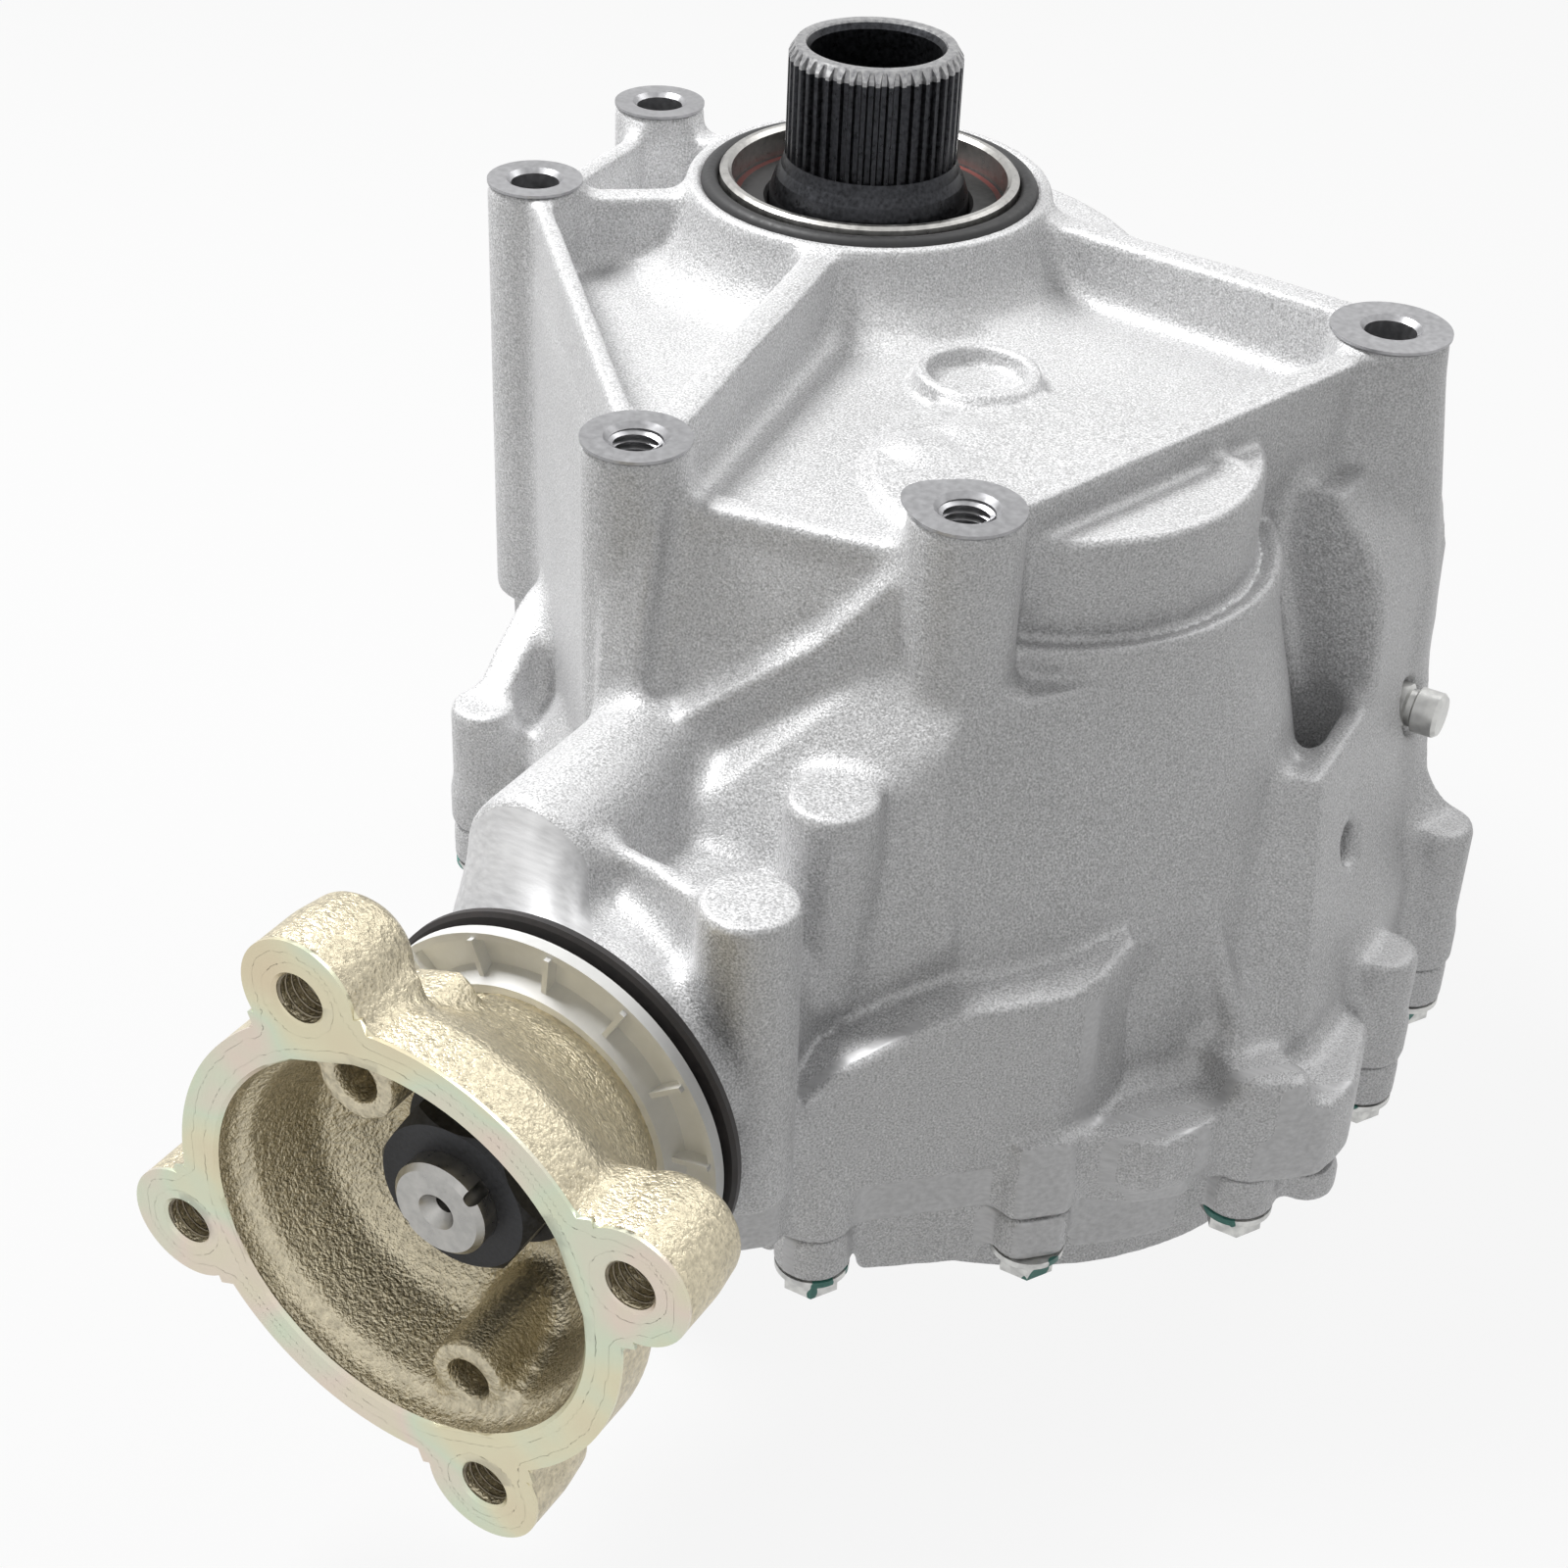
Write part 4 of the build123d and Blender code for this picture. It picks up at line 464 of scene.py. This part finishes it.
def crisp(thing):
    """Smooth shading that keeps the machined edges sharp."""
    for face in thing.data.polygons:
        face.use_smooth = True
    thing.data.set_sharp_from_angle(angle=SHARP_ANGLE)


def merged_copy(node):
    """The node's triangles joined at their corners, in a new bmesh."""
    shape = bmesh.new()
    shape.from_mesh(frame["nodes"][node].data)
    bmesh.ops.remove_doubles(shape, verts=shape.verts, dist=2e-6)
    return shape


def turned(profile):
    """A ring or disc from a (radius, height) profile, spun once about Z."""
    shape = bmesh.new()
    line = [shape.verts.new((r, 0, z)) for r, z in profile]
    edges = [shape.edges.new(pair) for pair in zip(line, line[1:] + line[:1])]
    bmesh.ops.spin(shape, geom=line + edges, angle=math.tau, steps=TURNED_STEPS, axis=(0, 0, 1), cent=(0, 0, 0),
                   use_merge=True)
    bmesh.ops.remove_doubles(shape, verts=shape.verts, dist=1e-6)
    bmesh.ops.recalc_face_normals(shape, faces=shape.faces)
    return shape


def add(shape, part):
    """Puts a finished part into a shape."""
    mesh = bpy.data.meshes.new("part")
    part.to_mesh(mesh)
    part.free()
    shape.from_mesh(mesh)
    bpy.data.meshes.remove(mesh)


def column(shape, place, radius, top, low, high):
    """A closed round column, narrower at the top where it has a draft."""
    middle = place @ Matrix.Translation((0, 0, (low + high) / 2))
    bmesh.ops.create_cone(shape, cap_ends=True, segments=64, radius1=radius, radius2=top, depth=high - low,
                          matrix=middle)


def lump(shape, centre, reach):
    """A low rounded swelling."""
    place = Matrix.Translation(centre) @ Matrix.Diagonal((*reach, 1))
    bmesh.ops.create_icosphere(shape, subdivisions=3, radius=1, matrix=place)


def block(shape, corners):
    """The tightest closed block round some corners, in millimetres."""
    verts = [shape.verts.new(Vector(corner) / 1000) for corner in corners]
    made = bmesh.ops.convex_hull(shape, input=verts)
    spare = {item for item in made["geom_interior"] + made["geom_unused"] if isinstance(item, bmesh.types.BMVert)}
    bmesh.ops.delete(shape, geom=list(spare), context="VERTS")


def thread(shape, crest, root, low, high, place):
    """A screw thread that stands inward from a bore's wall."""
    flank, tip = THREAD_PITCH * 0.42, THREAD_PITCH * 0.06
    turns = (high - low) / THREAD_PITCH
    ridge = bmesh.new()
    corners = ((root, 0, low - flank), (crest, 0, low - tip), (crest, 0, low + tip), (root, 0, low + flank))
    start = ridge.faces.new([ridge.verts.new(corner) for corner in corners])
    bmesh.ops.spin(ridge, geom=[start], angle=math.tau * turns, steps=round(THREAD_STEPS * turns), axis=(0, 0, 1),
                   cent=(0, 0, 0), dvec=(0, 0, THREAD_PITCH / THREAD_STEPS))
    bmesh.ops.recalc_face_normals(ridge, faces=ridge.faces)
    bmesh.ops.transform(ridge, matrix=place, verts=ridge.verts)
    add(shape, ridge)


def beside_rib(shape, profile, side):
    """A turned form round the second shaft, kept on one side of the rib between the middle and right bosses."""
    part = turned(profile)
    bmesh.ops.translate(part, verts=part.verts, vec=(*COUNTER_AXIS, 0))
    across = Vector((MIDDLE_RIB.y, -MIDDLE_RIB.x, 0)) * side
    middle = Vector((*BOSSES["middle"][:2], 0))
    bmesh.ops.bisect_plane(part, geom=part.verts[:] + part.edges[:] + part.faces[:], dist=1e-7, plane_co=middle,
                           plane_no=across, clear_outer=True)
    bmesh.ops.holes_fill(part, edges=part.edges)
    bmesh.ops.recalc_face_normals(part, faces=part.faces)
    add(shape, part)


def joined_groups(items, neighbours):
    """Vertices or edges sorted into groups that hang together."""
    left = set(items)
    groups = []
    while left:
        grown = [left.pop()]
        for item in grown:
            close = [other for other in neighbours(item) if other in left]
            left.difference_update(close)
            grown.extend(close)
        groups.append(grown)
    return groups


def gear_space_mouth(shape, level):
    """The edges round the gear space where it opens at a level: the second longest loop there."""
    low = [e for e in shape.edges if all(abs(v.co.z - level) < 5e-5 for v in e.verts) and len(e.link_faces) == 2
           and min(f.normal.z for f in e.link_faces) < -0.9 and max(f.normal.z for f in e.link_faces) > -0.5]
    loops = joined_groups(low, lambda edge: {e for vert in edge.verts for e in vert.link_edges})
    loops.sort(key=lambda loop: -sum(e.calc_length() for e in loop))
    return loops[1]


def keep_outer(shape):
    """Leaves only the shell with the widest reach."""
    shells = joined_groups(shape.verts, lambda vert: [e.other_vert(vert) for e in vert.link_edges])
    shells.sort(key=lambda shell: max(v.co.x for v in shell) - min(v.co.x for v in shell))
    for shell in shells[:-1]:
        bmesh.ops.delete(shape, geom=shell, context="VERTS")


def applied(thing):
    """The piece's mesh with its modifiers applied and taken off."""
    bpy.context.view_layer.update()
    ready = bpy.data.meshes.new_from_object(thing.evaluated_get(bpy.context.evaluated_depsgraph_get()))
    thing.modifiers.clear()
    return ready


def regrid(thing, grid, passes):
    """Lays an even grid over the piece and eases it."""
    remesh = thing.modifiers.new("grid", "REMESH")
    remesh.mode = "VOXEL"
    remesh.voxel_size = grid
    thing.modifiers.new("ease", "SMOOTH").iterations = passes


def skin(name, shape, finish, body, node, grid, fillet, details=None):
    """A cast skin over a rigid node: one closed outer shell with foundry fillets, then the crisper details."""
    settings = bpy.context.scene.case_casting
    thing = piece(name, shape, finish, body)
    for size in (fillet, -fillet):
        regrid(thing, grid, settings.passes)
        move = thing.modifiers.new("move", "DISPLACE")
        move.strength = size
        move.mid_level = 0.0
    thing.modifiers.new("ease", "SMOOTH").iterations = settings.passes * 2
    shape = bmesh.new()
    shape.from_mesh(applied(thing))
    keep_outer(shape)
    if details:
        details(shape)
    shape.to_mesh(thing.data)
    shape.free()
    if details:
        regrid(thing, grid, settings.passes)
        thing.data = applied(thing)
    count = sum(len(face.vertices) - 2 for face in thing.data.polygons)
    if count > settings.budget:
        thing.modifiers.new("thin", "DECIMATE").ratio = settings.budget / count
        thing.data = applied(thing)
    thing.data.materials.clear()
    thing.data.materials.append(finish)
    for face in thing.data.polygons:
        face.use_smooth = True
    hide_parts(node)


# Operators

class CASE_OT_finishes(bpy.types.Operator):
    """Give every rigid piece its finish"""
    bl_idname = "transfer_case.finishes"
    bl_label = "Finish the Rigid Pieces"

    def execute(self, context):
        finishes = slot_finishes()
        parts = frame["record"]["subparts"]
        slots = {part["node"]: part["material_slot"] for part in parts if "material_slot" in part}
        own = {"input_shaft": splined_steel(), "cover_bolts": marked_zinc(), "input_seal": lipped_rubber(),
               "pinion_shaft": finishes["turned_steel"]}
        for name, thing in frame["nodes"].items():
            finish = own.get(name, finishes[slots[name]])
            for place in thing.material_slots:
                place.material = finish
        return {"FINISHED"}


class CASE_OT_housing(bpy.types.Operator):
    """Cast skin of the housing"""
    bl_idname = "transfer_case.housing"
    bl_label = "Cast the Housing"

    def execute(self, context):
        shape = merged_copy("main_housing")
        self.close_openings(shape)
        self.settle(shape)
        self.front_forms(shape)
        self.widen_bores(shape)
        settings = context.scene.case_casting
        skin("housing_casting", shape, bpy.data.materials["blasted_aluminium"], "case",
             "main_housing", settings.grid, settings.fillet, self.crisp_forms)
        return {"FINISHED"}

    def close_openings(self, shape):
        """Shuts the gear space at the joint, in the pilot and in the pinion tube, out of sight."""
        low = min(v.co.z for v in shape.verts)
        bmesh.ops.contextual_create(shape, geom=gear_space_mouth(shape, low))
        column(shape, Matrix.Identity(4), 0.0372, 0.0372, -0.036, -0.03)
        column(shape, PINION, 0.036, 0.036, 0.228, 0.236)

    def settle(self, shape):
        """Lowers the boss tops a little under their machined rims, and levels the deck for its crisper marks."""
        for vert in shape.verts:
            vert.co.z = min(vert.co.z, -0.0004)
            in_ring = (vert.co.xy - SOLID_RING).length < SOLID_RING_REACH
            in_circle = (vert.co.xy - COUNTER_AXIS).length < SOLID_CIRCLE_REACH and vert.co.x < SOLID_CIRCLE_END
            if DECK_LOW < vert.co.z < DECK_HIGH and (in_ring or in_circle):
                vert.co.z = DECK_LEVEL

    def front_forms(self, shape):
        """The swelling below the rib, the pillars with their web, the front pocket's floor and the pad."""
        for corners in (SWELLING, PILLAR_WEB, POCKET_FLOOR, [(x, y, z) for x, y in PAD for z in PAD_LEVELS]):
            block(shape, corners)
        for x, y, radius, top, low in PILLARS:
            column(shape, Matrix.Translation((x, y, 0)), radius, top, low, PILLAR_TOP)
        for name, tip in BOSS_POINTS.items():
            self.boss_point(shape, Vector(BOSSES[name][:2]) * 1000, Vector(tip) * 1000)

    def boss_point(self, shape, centre, tip):
        """The point where a boss runs into its rib, from its rim down the boss's side."""
        arm = tip - centre
        across = Vector((-arm.y, arm.x)) / 2
        inner = centre + arm * 0.58
        corners = [(*tip, -0.8), (*tip, -2.5), (*(centre + arm * 0.7), -17)]
        for spot in (inner - across, inner + across):
            corners += [(*spot, -0.8), (*spot, -14)]
        block(shape, corners)

    def widen_bores(self, shape):
        """Makes room in the bosses for the machined rims' own bores."""
        for x, y, _, bore in BOSSES.values():
            for vert in shape.verts:
                arm = vert.co.xy - Vector((x, y))
                if 0.001 < arm.length < bore + BORE_SPARE:
                    vert.co.xy = Vector((x, y)) + arm.normalized() * (bore + BORE_WIDER)

    def crisp_forms(self, shape):
        """The deck's marks, the bearing drum and the milled wall with its ledge, crisper than the rest."""
        ring = turned(RING)
        bmesh.ops.translate(ring, verts=ring.verts, vec=RING_PLACE)
        add(shape, ring)
        beside_rib(shape, RAISED_CIRCLE, 1)
        beside_rib(shape, DRUM, -1)
        for centre, reach in LUMPS:
            lump(shape, centre, reach)
        for ends in zip(LEDGE, LEDGE[1:]):
            corners = [(x + out, y - out, z + up) for x, y, z in ends for out, up in LEDGE_TOP]
            corners += [(x + out, y - out, LEDGE_LOW) for x, y, z in ends for out in LEDGE_FOOT]
            block(shape, corners)


class CASE_OT_cover(bpy.types.Operator):
    """Cast skin of the end cover"""
    bl_idname = "transfer_case.cover"
    bl_label = "Cast the End Cover"

    def execute(self, context):
        settings = context.scene.case_casting
        skin("cover_casting", merged_copy("end_cover"), bpy.data.materials["blasted_aluminium"], "case",
             "end_cover", settings.grid, settings.fillet / 2)
        return {"FINISHED"}


class CASE_OT_boss_rims(bpy.types.Operator):
    """Machined tops and chamfered bores of the five hub bosses"""
    bl_idname = "transfer_case.boss_rims"
    bl_label = "Machine the Hub Bosses"

    def execute(self, context):
        finish = milled_aluminium()
        for name, (x, y, rim, bore) in BOSSES.items():
            wall = THREAD_ROOT if name in THREADED else bore
            floor = -RIM_DEPTH - RIM_WALL
            shape = turned([(wall + RIM_CHAMFER, 0), (rim, 0), (rim, -RIM_EDGE), (rim - RIM_TAPER, -RIM_TAPER),
                            (wall + RIM_WALL, -RIM_THROAT), (wall + RIM_WALL, floor), (PIN_HOLE, floor),
                            (PIN_HOLE, -RIM_DEPTH), (wall, -RIM_DEPTH), (wall, -RIM_CHAMFER)])
            if name in BOSS_POINTS:
                self.draw_out(shape, Vector(BOSS_POINTS[name]) - Vector((x, y)), rim)
            if name in THREADED:
                thread(shape, THREAD_CREST, THREAD_ROOT + THREAD_SINK, RIM_WALL - RIM_DEPTH, -RIM_CHAMFER,
                       Matrix.Identity(4))
            bmesh.ops.translate(shape, verts=shape.verts, vec=(x, y, 0))
            crisp(piece(name + "_boss_rim", shape, finish, "case"))
        return {"FINISHED"}

    def draw_out(self, shape, arm, rim):
        """Draws the rim out to the point where the boss runs into its rib."""
        for vert in shape.verts:
            along = vert.co.xy.normalized() @ arm.normalized() if vert.co.xy.length > rim * 0.9 else 0
            if along > 0.7:
                vert.co.xy *= 1 + (arm.length / rim - 1) * ((along - 0.7) / 0.3) ** 2


class CASE_OT_flange(bpy.types.Operator):
    """Cast skin of the propshaft flange with its crisp machined face and its threads"""
    bl_idname = "transfer_case.flange"
    bl_label = "Cast the Propshaft Flange"

    def execute(self, context):
        settings = context.scene.case_casting
        finish = bpy.data.materials["gold_plated_iron"]
        skin("flange_casting", merged_copy("companion_flange"), finish, "output", "companion_flange",
             settings.flange_grid, settings.flange_fillet)
        crisp(piece("flange_face", self.face(), finish, "output"))
        crisp(piece("flange_threads", self.threads(), tapped_iron(), "output"))
        return {"FINISHED"}

    def face(self):
        """The foremost slice of the flange, closed at its back."""
        shape = merged_copy("companion_flange")
        cut = bmesh.ops.bisect_plane(shape, geom=shape.verts[:] + shape.edges[:] + shape.faces[:], dist=1e-7,
                                     plane_co=(0, FLANGE_FACE_Y + 0.0012, 0), plane_no=(0, 1, 0), clear_outer=True)
        edges = [item for item in cut["geom_cut"] if isinstance(item, bmesh.types.BMEdge)]
        bmesh.ops.triangle_fill(shape, edges=edges, use_beauty=True)
        bmesh.ops.recalc_face_normals(shape, faces=shape.faces)
        return shape

    def threads(self):
        """A threaded sleeve in each ear."""
        shape = bmesh.new()
        for angle in map(math.radians, EAR_DEGREES):
            spot = (EAR_CIRCLE * math.cos(angle), EAR_CIRCLE * math.sin(angle), -FLANGE_FACE_Y)
            place = PINION @ Matrix.Translation(spot)
            sleeve = turned(EAR_SLEEVE)
            bmesh.ops.transform(sleeve, matrix=place, verts=sleeve.verts)
            add(shape, sleeve)
            thread(shape, EAR_CREST, EAR_ROOT, EAR_THREAD_LOW, EAR_THREAD_HIGH, place)
        return shape


class CASE_OT_stage(bpy.types.Operator):
    """Floor, lamps and camera"""
    bl_idname = "transfer_case.stage"
    bl_label = "Set the Stage"

    def execute(self, context):
        context.scene.view_settings.view_transform = "Standard"
        self.floor(context.scene)
        self.sky(context.scene)
        self.lamps(context.scene)
        self.camera(context.scene)
        return {"FINISHED"}

    def floor(self, scene):
        """A pale floor just under the part, seen as near white paper."""
        shape = bmesh.new()
        bmesh.ops.create_grid(shape, x_segments=1, y_segments=1, size=4.0)
        bmesh.ops.translate(shape, verts=shape.verts, vec=(0, 0, CAD_BOX[0].z - 0.0005))
        mesh = bpy.data.meshes.new("floor")
        shape.to_mesh(mesh)
        shape.free()
        floor = bpy.data.objects.new("floor", mesh)
        scene.collection.objects.link(floor)
        wiring = Wiring(bpy.data.materials.new("pale_floor"))
        shader = wiring.nodes["Principled BSDF"]
        wiring.feed(shader.inputs["Base Color"], tuple(scene.case_stage.floor))
        wiring.feed(shader.inputs["Roughness"], 0.9)
        glow = wiring.nodes.new("ShaderNodeEmission")
        both = wiring.nodes.new("ShaderNodeMixShader")
        rays = wiring.nodes.new("ShaderNodeLightPath").outputs
        seen = wiring.reckon("MAXIMUM", rays["Is Camera Ray"], rays["Is Glossy Ray"])
        wiring.feed(both.inputs["Fac"], wiring.reckon("MULTIPLY", seen, scene.case_stage.paper))
        wiring.feed(both.inputs[1], shader.outputs["BSDF"])
        wiring.feed(both.inputs[2], glow.outputs["Emission"])
        wiring.feed(wiring.nodes["Material Output"].inputs["Surface"], both.outputs["Shader"])
        mesh.materials.append(wiring.owner)

    def sky(self, scene):
        """White where the camera, metal or glass looks past the object, plain soft light elsewhere."""
        wiring = Wiring(bpy.data.worlds.new("studio"))
        rays = wiring.nodes.new("ShaderNodeLightPath").outputs
        seen = wiring.reckon("MAXIMUM", rays["Is Camera Ray"], rays["Is Transmission Ray"])
        seen = wiring.reckon("MAXIMUM", seen, rays["Is Glossy Ray"])
        lift = wiring.nodes.new("ShaderNodeMapRange")
        for name, value in (("To Min", 0.08), ("To Max", 1.0), ("Value", seen)):
            wiring.feed(lift.inputs[name], value)
        sky = wiring.nodes["Background"]
        wiring.feed(sky.inputs["Strength"], lift.outputs["Result"])
        wiring.feed(sky.inputs["Color"], (1.0, 1.0, 1.0))
        scene.world = wiring.owner

    def lamps(self, scene):
        """One broad lamp above on the left, a softer one on the right and one behind."""
        for name, place, size, power in LAMPS:
            lamp = bpy.data.lights.new(name, "AREA")
            lamp.size = size
            lamp.energy = scene.case_stage.key_power * power
            thing = bpy.data.objects.new(name, lamp)
            thing.location = place
            thing.rotation_mode = "QUATERNION"
            thing.rotation_quaternion = (LAMP_TARGET - Vector(place)).to_track_quat("-Z", "Y")
            scene.collection.objects.link(thing)

    def camera(self, scene):
        """The photograph's angle."""
        camera = bpy.data.cameras.new("camera")
        camera.sensor_width = 36
        camera.lens = CAMERA_LENS
        thing = bpy.data.objects.new("camera", camera)
        turn = Matrix([Vector(axis) for axis in CAMERA_AXES]).transposed().to_4x4()
        thing.matrix_world = Matrix.Translation(CAMERA_PLACE) @ turn
        scene.collection.objects.link(thing)
        scene.camera = thing


class CASE_PT_panel(bpy.types.Panel):
    bl_label = "Transfer Case"
    bl_idname = "CASE_PT_panel"
    bl_space_type = "VIEW_3D"
    bl_region_type = "UI"
    bl_category = "Transfer Case"

    def draw(self, context):
        for group in (context.scene.case_casting, context.scene.case_finishes, context.scene.case_stage):
            for name in group.__annotations__:
                self.layout.prop(group, name)
        for operator in STEPS:
            self.layout.operator(operator.bl_idname)


STEPS = (CASE_OT_stage, CASE_OT_finishes, CASE_OT_housing, CASE_OT_cover, CASE_OT_boss_rims, CASE_OT_flange)
GROUPS = {"case_casting": CastingSettings, "case_finishes": FinishSettings, "case_stage": StageSettings}


def register():
    for kind in (*GROUPS.values(), *STEPS, CASE_PT_panel):
        bpy.utils.register_class(kind)
    for name, group in GROUPS.items():
        setattr(bpy.types.Scene, name, PointerProperty(type=group))


def unregister():
    for name in GROUPS:
        delattr(bpy.types.Scene, name)
    for kind in (CASE_PT_panel, *reversed(STEPS), *GROUPS.values()):
        bpy.utils.unregister_class(kind)


def main():
    register()
    bpy.ops.transfer_case.stage()
    bpy.ops.transfer_case.finishes()
    bpy.ops.transfer_case.housing()
    bpy.ops.transfer_case.cover()
    bpy.ops.transfer_case.boss_rims()
    bpy.ops.transfer_case.flange()


if __name__ == "__main__":
    main()
